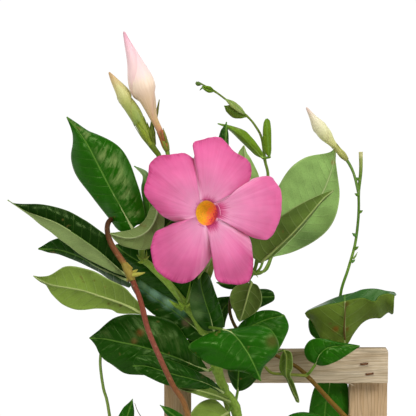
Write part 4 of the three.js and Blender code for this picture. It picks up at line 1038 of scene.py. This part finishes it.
def calyx(route, radii, code, foot_code):
    """Five narrow sepals that hug the foot of a bud."""
    line, size = seen_route(route), through(radii)
    side = line.ahead(0).orthogonal().normalized()
    other = line.ahead(0).cross(side)
    sepals = []
    for k in range(5):
        def place(t, s):
            radius = (size(t) + 0.25 + 0.9 * max(0, t - 0.7)) * MM
            angle = 2 * math.pi * (k + (s - 0.5) * 0.95 * (1 - t ** 1.2)) / 5
            out = math.cos(angle) * side + math.sin(angle) * other
            return line.at(t) + radius * out, (t * 0.1, s * 0.03)

        sepal = clad(shaped_grid(10, 6, place), BARK)
        sepals.append(tinted(thickened(sepal, 0.35, offset=1), stem_tint=code))
    return joined([spray(route, radii, foot_code), *sepals], "sepals")


def vine(key, line, radii, leaves, tints, stalk_tint, slot, twigs=(), spikes=(), folds=()):
    """One leafy stem: its blades in one piece, its stem with every stalk in another."""
    shapes = leaves + lower_leaves(line, key)
    feet, stalks = zip(*[stalk_and_rib(line, shape, stalk_tint) for shape in shapes])
    steps = 5 * (len(line) - 1)
    path = Route(line).sampled(steps)
    thick = []
    for i, point in enumerate(path):
        near = min((point - foot).length for foot in feet) / MM
        knot = 1 + JOINT_SWELLING * math.exp(-(near / JOINT_REACH) ** 2)
        thick.append(blended(radii, i / steps) * knot)
    main = graded(tube(path, thick, BARK, 12), "stem_tint", tints)
    parts = [main, *(part for pair in stalks for part in pair), *twigs, *[spike(*row) for row in spikes]]
    settled(joined(parts, f"{key}_vine_stem"), f"{key}_vine_stem", slot, f"vine_{key}")
    blades = joined([*[blade(shape) for shape in shapes], *folds], f"{key}_vine_leaves")
    settled(blades, f"{key}_vine_leaves", slot, f"vine_{key}")


PINK_STALK = [(-72, 545, -47), (-70, 555, -47), (-72.5, 564, -46), (-73.4, 566.6, -45.7)]
YELLOW_STALK = [(-74, 538, -49), (-75, 553, -48), (-80.5, 561.5, -47), (-87.7, 574.5, -44),
                (-89, 577.4, -43.4)]
BLOOM_STALK = [(-80, 520, -50), (-68, 522, -42), (-56, 519, -38), (-51.5, 517.5, -44)]
CREAM_STALK = [(54, 530, 0), (50.7, 543.5, -2), (46, 552.5, -4), (41, 558.3, -5), (38.9, 561, -5.4)]
SIDE_STALK = [(20, 412, -16), (4, 413, -29), (-3, 414, -29), (-7, 418, -29)]
BRACT = [(-79, 562, -46), (-80.3, 570, -44.5), (-80.6, 579, -43)]
CUT_STUB = [(-95, 477, -73), (-89, 478, -76), (-85, 479, -77)]

# Outgrowths (x, z, depth of the foot, dx, dz to the point, radius, colour).
GREEN_SPIKES = [
    (-86.5, 487.2, -53, -3.9, 3.6, 1.1, "#7d9838"), (-86.5, 485.9, -53, -3.2, -0.3, 1, "#8aa63c"),
    (-85.2, 487.9, -53, 3.2, 2.0, 0.9, "#9aac4c"), (-86.5, 489.2, -53, -1.3, 4.5, 0.9, "#7d9838"),
    (-84.5, 488.5, -53, 0.7, 5.2, 0.8, "#7d9838"), (-60.5, 455.4, -45, -9.1, 6.2, 1.7, "#86a83a"),
    (-59.8, 456.7, -46, -3.9, 4.5, 1.2, "#86a83a"), (-57.9, 456.7, -46, 4.5, 4.2, 1.2, "#8fae40"),
    (-57.9, 457.3, -44, 2.6, 16.6, 1.5, "#6f9434"), (-59.8, 455.4, -46, -7.8, 3.2, 1.1, "#7a9a36"),
]
RED_SPIKES = [
    (-94.2, 477.5, -73, -2.9, -4.2, 1.2, "#a39a40"), (-92.3, 479.4, -73, 2.6, 1.6, 1, "#a8a044"),
    (-93.6, 481.4, -71, -3.2, 4.5, 1, "#a39040"),
]
RIGHT_SPIKES = [
    (54.1, 529.1, 0, -2.8, 1.4, 1.2, "#527426"), (53.9, 518.1, 0, 2.8, 1.4, 1.2, "#527426"),
    (52.7, 502.8, 0, -3.1, 2.0, 1.3, "#4f7a34"), (51.3, 494.4, 0, 2.6, 1.6, 1.2, "#527426"),
    (50.4, 487.9, 0, 2.8, 4.5, 0.7, "#7d9a4c"), (54.8, 539.2, 0, -3.0, 1.8, 1.2, "#527426"),
    (49.4, 485.9, 0, 2.3, 1.6, 1, "#4f7a34"),
]
BROWN_SPIKES = [
    (-47.4, 599.3, -34, -2.0, -2.0, 0.6, "#4c6a28"), (-45.5, 598.7, -34, -1.3, 2.6, 0.6, "#4c6a28"),
    (-15.6, 480.7, -36, 4.2, -4.9, 0.8, "#6f8a3a"), (-13.7, 479.4, -36, -2.6, -3.9, 0.8, "#5f7a30"),
]

vine("green", GREEN_LINE, [4.2, 3.6, 3.2, 3, 2.2, 1.9, 1.5], GREEN_LEAVES,
     [(95, "#5c5f2c"), (390, "#7a963a"), (560, "#84a640")], STALK_GREEN, "leaf_green", [
         spray(PINK_STALK, [1.3, 1.3, 1.6, 1.7], "#6f8a34"),
         calyx([(-70.4, 558, -47), (-71.6, 561.5, -46.5), (-72.9, 565.5, -46), (-75, 571, -45)],
               [1.3, 2.1, 2.2, 1.9], "#7c8638", "#b0663c"),
         spray([(-71.6, 562, -46.5), (-73.2, 567, -48.5), (-74.5, 572, -47.6)], [0.8, 1.1, 0.15], "#945a38"),
         spray([(-71.2, 562, -47), (-71.7, 567, -48.6), (-73.2, 573, -48)], [0.7, 1, 0.15], "#7a7a34"),
         spray([(-78.8, 576, -41), (-77.2, 583, -41.5), (-75.6, 591.5, -43)], [1.1, 1, 0.3], "#6a6a2c"),
         spray(YELLOW_STALK, [1.3, 1.6, 2.1, 2.7, 2.7], "#566a1c"),
         calyx([(-79.6, 560.5, -47), (-82, 564.5, -46), (-84.8, 569.5, -45), (-88.9, 578.3, -43)],
               [1.7, 2.4, 3.2, 3.9], "#6d7f26", "#84923a"),
         spray([(-81, 562, -48), (-86, 570, -48.6), (-91.4, 578.5, -45.5)], [1.3, 1.5, 0.15], "#7c8c2c"),
         spray([(-79.5, 562, -47), (-81.2, 568.5, -47), (-83.6, 576.8, -44)], [1.2, 1.2, 0.15], "#55621c"),
         spray(BRACT, [1.3, 2.1, 0.3], "#4c5a18"),
         spray([(-80, 566, -45), (-82.5, 571, -45), (-84, 575.5, -44)], [1.2, 1, 0.15], "#5c6c1c"),
         spray(BLOOM_STALK, [1.3, 1.3, 1.6, 2.6], "#7fa548"),
         spray([(-57.2, 459.9, -46), (-53.9, 469, -54), (-49.4, 476.8, -62), (-41.6, 488.5, -52)],
               [0.7, 0.6, 0.6], "#86a050"),
         spray([(-69, 474.2, -50), (-64.8, 466.4, -48), (-60.4, 459.2, -45)], [0.3, 0.45, 0.6], "#86a24c")],
     GREEN_SPIKES)
vine("red", RED_LINE, [3, 2.5, 1.9, 1.65, 1.55, 1.8, 1.65, 1.4], RED_LEAVES,
     [(95, "#6c4a30"), (395, "#866434"), (412, "#7e5630"), (422, "#78492e"), (445, "#84483a"),
      (485, "#743626"), (488, "#8e7c38"), (493, "#94843a"), (498, "#7c4a2e"), (503, "#6e4228"),
      (514, "#492c1a")],
     STALK_RED, "leaf_red_stem", [
         spray(CUT_STUB, [1.6, 1.1, 0.3], "#aaa548"),
         spray([(-98.6, 484.6, -71), (-96.4, 480.6, -72), (-94.4, 477, -73), (-93, 473.8, -74)],
               [1.8, 2.6, 2.9, 1.8], "#8c7a36"),
         spray([(-91.7, 394.3, -60), (-87.8, 385.8, -62), (-72, 366, -66), (-54, 360, -74)],
               [0.15, 0.3, 0.5], "#5a5030")],
     RED_SPIKES)
vine("brown", BROWN_LINE, [4, 2.7, 1.75, 1.35, 1.1, 1.05, 1.1, 0.9, 0.65, 0.55], BROWN_LEAVES,
     [(95, "#6c4c2c"), (395, "#74561e"), (425, "#5c461a"), (470, "#463a1c"), (495, "#5c7c2e"),
      (590, "#667a2c")],
     STALK_GREEN, "leaf_brown_stem", [
         spray(SIDE_STALK, [1.1, 1, 0.9], "#6f7a30"),
         spray([(-52, 602.6, -34), (-50.5, 601.8, -34), (-48.6, 601.5, -34)], [0.7, 1.5, 0.9], "#4f6a2c"),
         spray([(-14, 478, -34), (-10, 482, -35), (-7.6, 489, -32), (-5.5, 496, -28)],
               [0.9, 0.8, 0.8], "#6f9038"),
         spray([(-14, 478, -35), (-9, 479, -38), (-5, 485, -38), (-2.6, 492, -34)],
               [0.9, 0.7, 0.7], "#7d9a44")],
     BROWN_SPIKES)
vine("right", RIGHT_LINE, [3, 2.4, 1.7, 1.0, 0.95, 0.9, 1.35], RIGHT_LEAVES,
     [(95, "#5f5f30"), (440, "#5c8428"), (470, "#5f8a2c"), (490, "#76993c"), (510, "#4e7028"),
      (540, "#567628"), (552, "#8a9650"), (556, "#c2bf86")],
     STALK_GREEN, "leaf_olive", [
         spray(CREAM_STALK, [1, 0.9, 1.1, 1.4, 1.2], "#64843c"),
         calyx([(46.3, 552.3, -4), (43.6, 555.4, -4.5), (41, 558.4, -5), (38, 562, -5.6)], [1.2, 2.1, 1.9, 2],
               "#a3a45c", "#b0b068"),
         spray([(41, 433, 20), (44, 432, 13), (45.6, 432.8, 8)], [1.2, 1.1, 1.1], "#7d7a3c"),
         spray([(45.3, 433.2, 7), (44.5, 441.8, -2.5), (44.9, 449.5, -7), (45.5, 459.3, -11)],
               [0.8, 0.6, 0.45, 0.25], "#5e4c22")],
     RIGHT_SPIKES, folded_leaf())
vine("thin", THIN_LINE, [1.6, 1.3, 1, 0.9], THIN_LEAVES,
     [(95, "#5f6a34"), (380, "#7c9044"), (430, "#6f8a40")], STALK_GREEN, "leaf_olive")
vine("back", BACK_LINE, [3, 2.4, 2, 1.4], [], [(95, "#5c5f2c"), (400, "#6c8434")], STALK_GREEN, "leaf_green")


# ---- Bloom and buds ----

RIM_RADIUS = 8.2
RIM_NARROWING = 0.86
PETAL_DISH = 3
PETAL_FLARE = 6
PETAL_OVERLAP = 1.2
PETAL_THICKNESS = 0.5

# Outer margins of the petals from the throat's centre, counter-clockwise edge first, with the angles of
# the throat's rim that each springs from, and where on the colour ramp its foot and its margin lie.
# A foot near nought starts crimson: painted shade beside the throat on its right.
PETALS = [
    ("left", 204, 124, 0.11, 1,
     [(-16, -5.2), (-20.5, -5.3), (-23.9, -4.2), (-29.1, -1.3), (-33, 2.7), (-36.9, 7.2), (-40.4, 12.4),
      (-40.7, 15.5), (-39.5, 20.2), (-37.8, 25), (-37, 31.5), (-32.2, 36.4), (-22.4, 38.4), (-14.3, 38.8),
      (-8.6, 35.6)]),
    ("upper", 122, 52, 0.05, 0.98,
     [(-8, 22), (-10, 32), (-7.6, 37.5), (-8.6, 45.3), (-1.3, 48.1), (7.7, 49.4), (12.5, 46.2), (18.2, 39.7),
      (26.3, 35.1), (29.1, 29.1), (28, 21.8), (23, 16)]),
    ("right", 50, -20, 0, 0.76,
     [(20, 14.5), (28, 21), (34.5, 23.4), (41.8, 23.7), (45.8, 18.5), (48.8, 12), (48.3, -1), (45.8, -9.1),
      (41, -16.4), (36.1, -17.2), (28, -14.8), (20, -9.5)]),
    ("lower_right", -22, -92, 0, 1,
     [(21, -7), (28, -16.5), (30.1, -28), (30.1, -36), (28, -43.5), (22.6, -46.3), (13.8, -46), (6.8, -43.5),
      (5, -35), (5, -24)]),
    ("lower_left", -94, -164, 0.11, 1,
     [(5, -18), (4.4, -25.4), (0.3, -33.5), (-8.6, -43.2), (-17.6, -45.7), (-27.3, -41.6), (-33.8, -35.1),
      (-36.2, -23.7), (-35.4, -19), (-33.6, -13), (-30.2, -10.9), (-25.2, -8.6), (-20.7, -6.6), (-11, -4.6)]),
]
PETAL_NIBBLE, PETAL_SWAY, PETAL_RUFFLE, PETAL_RAY = 0.012, 2.2, 1.3, 0.12


def petal(name, first, last, foot_shade_ramp, margin_ramp, margin):
    outline = flat_route(margin)

    def place(u, a):
        outer = outline.at(a)
        angle = math.radians(first + (last - first) * a)
        inner = Vector((RIM_RADIUS * RIM_NARROWING * math.cos(angle), 0, RIM_RADIUS * math.sin(angle)))
        nibbled = 1 + PETAL_NIBBLE * noise.noise(Vector((outer.x, outer.z, first)) * 0.35)
        x, _, z = inner + (outer * nibbled - inner) * u
        tilt = -(BLOOM_FACING.x * x + BLOOM_FACING.z * z) / BLOOM_FACING.y
        flare = PETAL_FLARE * u * u - PETAL_DISH * math.sin(math.pi * min(1, 1.1 * u))
        overlap = PETAL_OVERLAP * (1 - 2 * a) * math.sin(math.pi / 2 * min(1, 2.2 * u))
        sway = noise.noise(Vector((x, z, first)) * 0.055) * PETAL_SWAY * u
        ruffle = noise.noise(Vector((x, z, first)) * 0.16) * PETAL_RUFFLE * smooth((u - 0.45) / 0.55)
        wander = 3 * noise.noise(Vector((a * 9, u * 2, first)))
        ray = PETAL_RAY * math.sin(a * 60 + wander) * math.sin(math.pi * u)
        depth = THROAT.z + tilt + flare + overlap + sway + ruffle + ray
        return seen(THROAT.x + x, THROAT.y + z, depth), (foot_shade_ramp + (margin_ramp - foot_shade_ramp) * u, a)

    sheet = clad(shaped_grid(36, 44, place), PETAL)
    settled(thickened(sheet, PETAL_THICKNESS, offset=0), f"{name}_petal", "petal_pink", "bloom_petals")


def turned_on_bloom(profile, name, material, slot, node, sides=48):
    """A body of revolution about the bloom's axis; profile is (radius, height towards the viewer)."""
    centre = seen(*THROAT)
    turn = Vector((0, 0, 1)).rotation_difference(BLOOM_FACING)
    line = flat_route(profile)

    def place(t, s01):
        spot = line.at(t)
        angle = 2 * math.pi * s01
        local = Vector((spot.x * math.cos(angle), spot.x * math.sin(angle), spot.z)) * MM
        return centre + turn @ local, (0.4 * (1 - t) ** 2, s01)

    settled(clad(shaped_grid(8 * (len(profile) - 1), sides, place, closed=True), material), name, slot, node)


for row in PETALS:
    petal(*row)
turned_on_bloom([(0.5, -34), (2.4, -34), (2.8, -28), (3.4, -21), (6.4, -14), (8.8, -4), (8.5, 0.6),
                 (7.9, -0.4), (7.4, -4), (5.2, -13), (0.01, -13.9)],
                "flower_tube", PETAL, "petal_pink", "bloom_petals")
turned_on_bloom([(0.01, -13.3), (3.6, -12.6), (5.0, -9.5), (7.2, -3.6), (7.9, -0.6), (7.5, -0.1),
                 (6.6, -2.4), (4.8, -5.6), (2.4, -7.2), (0.01, -7.6)],
                "yellow_throat", THROAT_DOWN, "throat_yellow", "bloom_throat")


BUD_ROWS, BUD_SIDES = 48, 40
BUD_LAP = 0.13       # share of its radius by which a petal stands over the next
BUD_SEAM, BUD_SEAM_DEPTH = 0.97, -0.03
BUD_TIP = 0.01


def furled_bud(name, route, radii, turns, material):
    """Petals wound round each other: the radius steps at each petal's edge, which winds as it rises."""
    line, size = seen_route(route), through(radii)
    frames = []
    normal = Vector((1, 0, 0))
    for i in range(BUD_ROWS + 1):
        ahead = line.ahead(i / BUD_ROWS)
        normal = (normal - normal.dot(ahead) * ahead).normalized()
        frames.append((line.at(i / BUD_ROWS), normal.copy(), ahead.cross(normal)))

    def place(t, s01):
        centre, right, up = frames[round(t * BUD_ROWS)]
        lap = (2 * s01 - turns * t) % 1
        rise = BUD_LAP * (smooth(lap / 0.85) - 0.5) * math.sin(math.pi * min(1, 1.15 * t))
        edge = rise if lap < BUD_SEAM else BUD_SEAM_DEPTH
        radius = (BUD_TIP if t in (0, 1) else max(2 * BUD_TIP, size(t) * (1 + edge))) * MM
        angle = 2 * math.pi * s01
        return centre + radius * (math.cos(angle) * right + math.sin(angle) * up), (t, s01)

    bud = clad(shaped_grid(BUD_ROWS, BUD_SIDES, place, closed=True), material)
    settled(bud, f"{name}_furled_bud", f"bud_{name}", f"bud_{name}")


furled_bud("pink", [
    (-72.7, 564.6, -46), (-75.5, 571.5, -45), (-79.5, 580, -44), (-83, 591, -43), (-86, 598, -42),
    (-88.5, 606, -41), (-92, 617, -40), (-96.5, 629, -38), (-98.8, 636, -37),
], [1.9, 1.9, 2.5, 5.2, 7.4, 7.3, 4.6, 2, 0.6], 2.2, PINK_BUD)
furled_bud("yellow", [
    (-88, 575.2, -43.7), (-91, 581.5, -42.5), (-94.5, 587, -41.5), (-97.5, 591, -41), (-99.5, 596, -40),
    (-105, 604, -38), (-108.5, 609.5, -36),
], [3.5, 4.0, 4.2, 4.3, 4.1, 2.2, 0.5], 1.8, YELLOW_BUD)
furled_bud("cream", [
    (40.1, 559.5, -5.1), (36, 564, -6), (32, 569, -7), (28, 574, -8), (24, 580, -9), (19.8, 586.6, -10),
], [1.5, 2.6, 4.4, 4.2, 2.2, 0.5], 1.8, CREAM_BUD)


# ---- Trellis ----

RAIL_HALF_LENGTH = 74.5
RAIL_HEIGHT = 21
LATH = 11
UPRIGHT_FOOT, UPRIGHT_TOP = 45, 424.5
UPRIGHTS = {"left": (-74.5, -56.5), "right": (49.5, 74.5)}
RAILS = {"top": (426, [-8.1, -14.7]), "middle": (322, [-10]), "low": (226, [-10])}
STAPLE_SHIFTS = [-3.3, 0.3]
STAPLE_WIDTH = 6
STAPLE_WIRE = 1.2
STAPLE_LEG = 8
UPRIGHT_SHIFT = 1.2
WEAR = 0.012         # share of a lath's half thickness that its faces wander
RAIL_SHADOW_REACH = 4             # millimetres from an upright's top that are darkened: painted shadow under the rail


def board(name, low, high, length_axis, offset, node, splinters=(), damp_and_shade=(), heart=0.0):
    """A sawn lath with worn corners, carrying its own grain coordinates in millimetres.

    The damp list gives (x, z, radius) spots darkened as painted shade, in part a weather stain; heart is its
    share of warmer heartwood.
    """
    low, high = Vector(low), Vector(high)
    bpy.ops.object.select_all(action="DESELECT")
    bpy.ops.mesh.primitive_cube_add(size=1, location=(low + high) / 2 * MM, scale=(high - low) * MM)
    obj = bpy.context.object
    bpy.ops.object.transform_apply(location=True, rotation=True, scale=True)
    applied(obj, "BEVEL", width=0.3 * MM, segments=2)
    bpy.ops.object.mode_set(mode="EDIT")
    mesh = bmesh.from_edit_mesh(obj.data)
    for edge in mesh.edges:
        edge.select_set(edge.calc_length() > 30 * MM)
    bmesh.update_edit_mesh(obj.data)
    bpy.ops.mesh.subdivide(number_cuts=60)
    bpy.ops.object.mode_set(mode="OBJECT")
    slivers = [tube([Vector(spot) * MM for spot in line], [0.8, 0.5, 0.1], PINE, 4) for line in splinters]
    obj = joined([clad(obj, PINE), *slivers], name)
    centre = (low + high) / 2 * MM
    grain = obj.data.attributes.new("grain", "FLOAT_VECTOR", "POINT")
    order = {"X": (0, 2, 1), "Z": (2, 0, 1)}[length_axis]
    for vertex in obj.data.vertices:
        out = vertex.co - centre
        worn = 1 + WEAR * noise.noise(vertex.co * 120 + Vector((offset, 0, 0)))
        for axis in order[1:]:
            vertex.co[axis] = centre[axis] + out[axis] * worn
        grain.data[vertex.index].vector = [vertex.co[axis] / MM + offset for axis in order]
    spots = [vertex.co / MM for vertex in obj.data.vertices]
    marked(obj, "heart", [heart] * len(spots))
    marked(obj, "damp_and_shade", [
        smooth(1.4 - min([math.hypot(spot.x - x, spot.z - z) / radius for x, z, radius in damp_and_shade], default=2))
        for spot in spots])
    bpy.ops.object.shade_smooth_by_angle(angle=math.radians(20))
    settled(obj, name, "pine", node)


def staple(name, x, z, node):
    """A bent wire staple: two legs into the rail and a crown across it."""
    half = (STAPLE_WIDTH - STAPLE_WIRE) / 2
    front = -SEAT_GAP - STAPLE_WIRE / 2
    corners = [(-half, STAPLE_LEG), (-half, 1.0), (-half + 0.35, front + 0.2), (-half + 0.9, front),
               (half - 0.9, front), (half - 0.35, front + 0.2), (half, 1.0), (half, STAPLE_LEG)]
    points = [Vector((x + u, v, z + 0.12 * u)) * MM for u, v in corners]
    settled(tube(points, [STAPLE_WIRE / 2] * 2, RUST, 10), name, "rusty_steel", node)


# Painted shade down the left upright's right side.
SIDE_SHADE = {"left": [(-57, z, 10) for z in range(372, 412, 8)], "right": []}
for side, (x0, x1) in UPRIGHTS.items():
    left, right = x0 + UPRIGHT_SHIFT, x1 + UPRIGHT_SHIFT
    board(f"{side}_upright_lath", (left, LATH + SEAT_GAP, UPRIGHT_FOOT),
          (right, 2 * LATH + SEAT_GAP, UPRIGHT_TOP), "Z", x0, f"upright_{side}", heart=0.4,
          damp_and_shade=[(left, UPRIGHT_TOP, RAIL_SHADOW_REACH), (right, UPRIGHT_TOP, RAIL_SHADOW_REACH)] + SIDE_SHADE[side])
for level, (top, drops) in RAILS.items():
    torn = [[(x - 4.5, 2, top - 20.6), (x - 1.5, 0.6, top - 21.6), (x + 1.5, 0.2, top - 23)]
            for x in (-70, 51)]
    # The top rail's darkened spots along its upper edge are painted shade of the leaves above, in part a
    # weather stain.
    board(f"{level}_rail_lath", (-RAIL_HALF_LENGTH, 0, top - RAIL_HEIGHT), (RAIL_HALF_LENGTH, LATH, top), "X",
          top, f"rail_{level}", torn, [(x, top, 16) for x in (-20, -10, 0, 12)] if level == "top" else ())
    for side, (x0, x1) in UPRIGHTS.items():
        for index, drop in enumerate(drops):
            x = (x0 + x1) / 2 + STAPLE_SHIFTS[index]
            staple(f"{level}_{side}_wire_staple_{index + 1}", x, top + drop,
                   f"staple_{level}_{side}_{index + 1}")


# ---- Pot and soil ----

POT_HEIGHT, POT_RIM_RADIUS, POT_BASE_RADIUS, POT_WALL = 165, 105, 82, 2.8
RIM_BAND, RIM_STEP = 16, 3
TOP_SHARE = 0.8      # share of the bed's grid that covers its top; the rest is its side and foot
CRUMBS = 160


def pot_radius(z):
    return POT_BASE_RADIUS + (POT_RIM_RADIUS - RIM_STEP - POT_BASE_RADIUS) * z / POT_HEIGHT


def lathed(profile, sides=96):
    """A closed body turned about the Z axis from (radius, z) corners that start and end on the axis."""
    mesh = bpy.data.meshes.new("profile")
    mesh.from_pydata([(radius * MM, 0, z * MM) for radius, z in profile],
                     [(i, i + 1) for i in range(len(profile) - 1)], [])
    obj = bpy.data.objects.new("profile", mesh)
    bpy.context.collection.objects.link(obj)
    applied(obj, "SCREW", steps=sides, render_steps=sides, use_merge_vertices=True, merge_threshold=1e-6,
            use_normal_calculate=True)
    return welded(obj)


def plain_pot():
    band = POT_HEIGHT - RIM_BAND
    pot = lathed([
        (0, 0), (POT_BASE_RADIUS, 0), (pot_radius(band), band), (POT_RIM_RADIUS, band + 1),
        (POT_RIM_RADIUS, POT_HEIGHT), (pot_radius(POT_HEIGHT) - POT_WALL, POT_HEIGHT),
        (pot_radius(POT_WALL) - POT_WALL, POT_WALL), (0, POT_WALL)])
    applied(pot, "BEVEL", width=1.1 * MM, segments=3, limit_method="ANGLE", angle_limit=math.radians(30))
    bpy.ops.object.shade_smooth_by_angle(angle=math.radians(35))
    settled(clad(pot, PLASTIC), "moulded_pot", "terracotta_plastic", "pot")


def soil_bed():
    """Loose compost in the pot: an uneven top, with crumbs lying on it."""
    foot = POT_WALL + SEAT_GAP
    edge = pot_radius(SOIL_LEVEL) - POT_WALL - 0.5
    profile = Route([(0, 0, SOIL_LEVEL + 1.5), (edge * 0.5, 0, SOIL_LEVEL + 1), (edge - 8, 0, SOIL_LEVEL),
                     (edge, 0, SOIL_LEVEL - 3)])

    def place(t, s01):
        angle = 2 * math.pi * s01
        if t < TOP_SHARE:
            spot = profile.at(t / TOP_SHARE)
            ground = Vector((spot.x * math.cos(angle), spot.x * math.sin(angle), 0))
            height = spot.z + (2.2 * noise.noise(ground * 0.07) + 1.1 * noise.noise(ground * 0.3)) * (1 - t)
            radius = spot.x
        else:
            share = (t - TOP_SHARE) / (1 - TOP_SHARE)
            at_foot = share > 0.4
            radius = (pot_radius(foot) - POT_WALL - 1) * min(1, 3 * (1 - share)) if at_foot else edge
            height = foot if at_foot else SOIL_LEVEL - 3
        return Vector((radius * math.cos(angle), radius * math.sin(angle), height)) * MM, (t, s01)

    bed = shaped_grid(100, 144, place, closed=True)
    chance = Random(7)
    pieces = [bed]
    for _ in range(CRUMBS):
        angle, reach = chance.uniform(0, 2 * math.pi), math.sqrt(chance.random()) * (edge - 6)
        size = chance.uniform(1.0, 3.4)
        spot = Vector((reach * math.cos(angle), reach * math.sin(angle), SOIL_LEVEL + 0.9))
        bpy.ops.mesh.primitive_ico_sphere_add(subdivisions=2, radius=size * MM, location=spot * MM,
                                              rotation=[chance.uniform(0, 6) for _ in range(3)])
        crumb = bpy.context.object
        for vertex in crumb.data.vertices:
            vertex.co *= 0.75 + 0.5 * noise.noise(vertex.co * 700 + spot)
        pieces.append(crumb)
    settled(clad(joined(pieces, "peat_bed"), PEAT), "peat_bed", "peat", "soil")


plain_pot()
soil_bed()


# ---- Studio ----

SOFTBOXES = (("left softbox", (-0.7, -1.4, 1.75), 0.7, 20), ("top softbox", (0.3, 0.2, 2), 1, 11),
             ("right softbox", (1, -1.2, 1.45), 0.7, 15))  # name, place, size, watts
LIT = Vector((-0.03, 0, 0.45))  # the spot that they face


def studio():
    bpy.ops.mesh.primitive_cylinder_add(vertices=128, radius=1.3, depth=0.02, location=(0, 0, -0.0102))
    floor = bpy.context.object
    floor.name = "studio_floor"
    clad(floor, mottled("pale matt paper", [(0.3, "#f4f4f4"), (0.7, "#f7f7f7")], 20, 0.9, 0.02))

    scene = bpy.context.scene
    scene.view_settings.view_transform = "Standard"
    scene.render.film_transparent = False
    scene.world = bpy.data.worlds.new("white tent")
    nodes = Nodes(scene.world)
    _, y, z = nodes.parts(nodes.spot("Generated"))
    tall = nodes.math("ABSOLUTE", nodes.math("ADD", z, 0.07))
    # The tent is dimmer on the camera's side, so that the leaves do not go milky.
    strength = nodes.math("MULTIPLY", nodes.span(tall, 0.22, 0.5, 1.03, 0.22, SOFT),
                          nodes.span(y, -0.7, 0.1, 0.45, 1, SOFT))
    background = nodes.tree.nodes["Background"]
    background.inputs["Color"].default_value = (1, 1, 1, 1)
    nodes.tree.links.new(strength, background.inputs["Strength"])

    for name, place, size, power in SOFTBOXES:
        data = bpy.data.lights.new(name, "AREA")
        data.size = size
        data.energy = power
        light = bpy.data.objects.new(name, data)
        scene.collection.objects.link(light)
        light.location = place
        light.rotation_euler = (LIT - Vector(place)).to_track_quat("-Z", "Y").to_euler()

    camera = bpy.data.objects.new("camera", bpy.data.cameras.new("camera"))
    scene.collection.objects.link(camera)
    camera.location = EYE * MM
    camera.rotation_euler = SIGHT.to_track_quat("-Z", "Y").to_euler()
    camera.data.lens = 36 / (2 * math.tan(math.atan(VIEW_WIDTH / 2 / EYE_DISTANCE)))
    camera.data.clip_start = 0.01
    scene.camera = camera


studio()
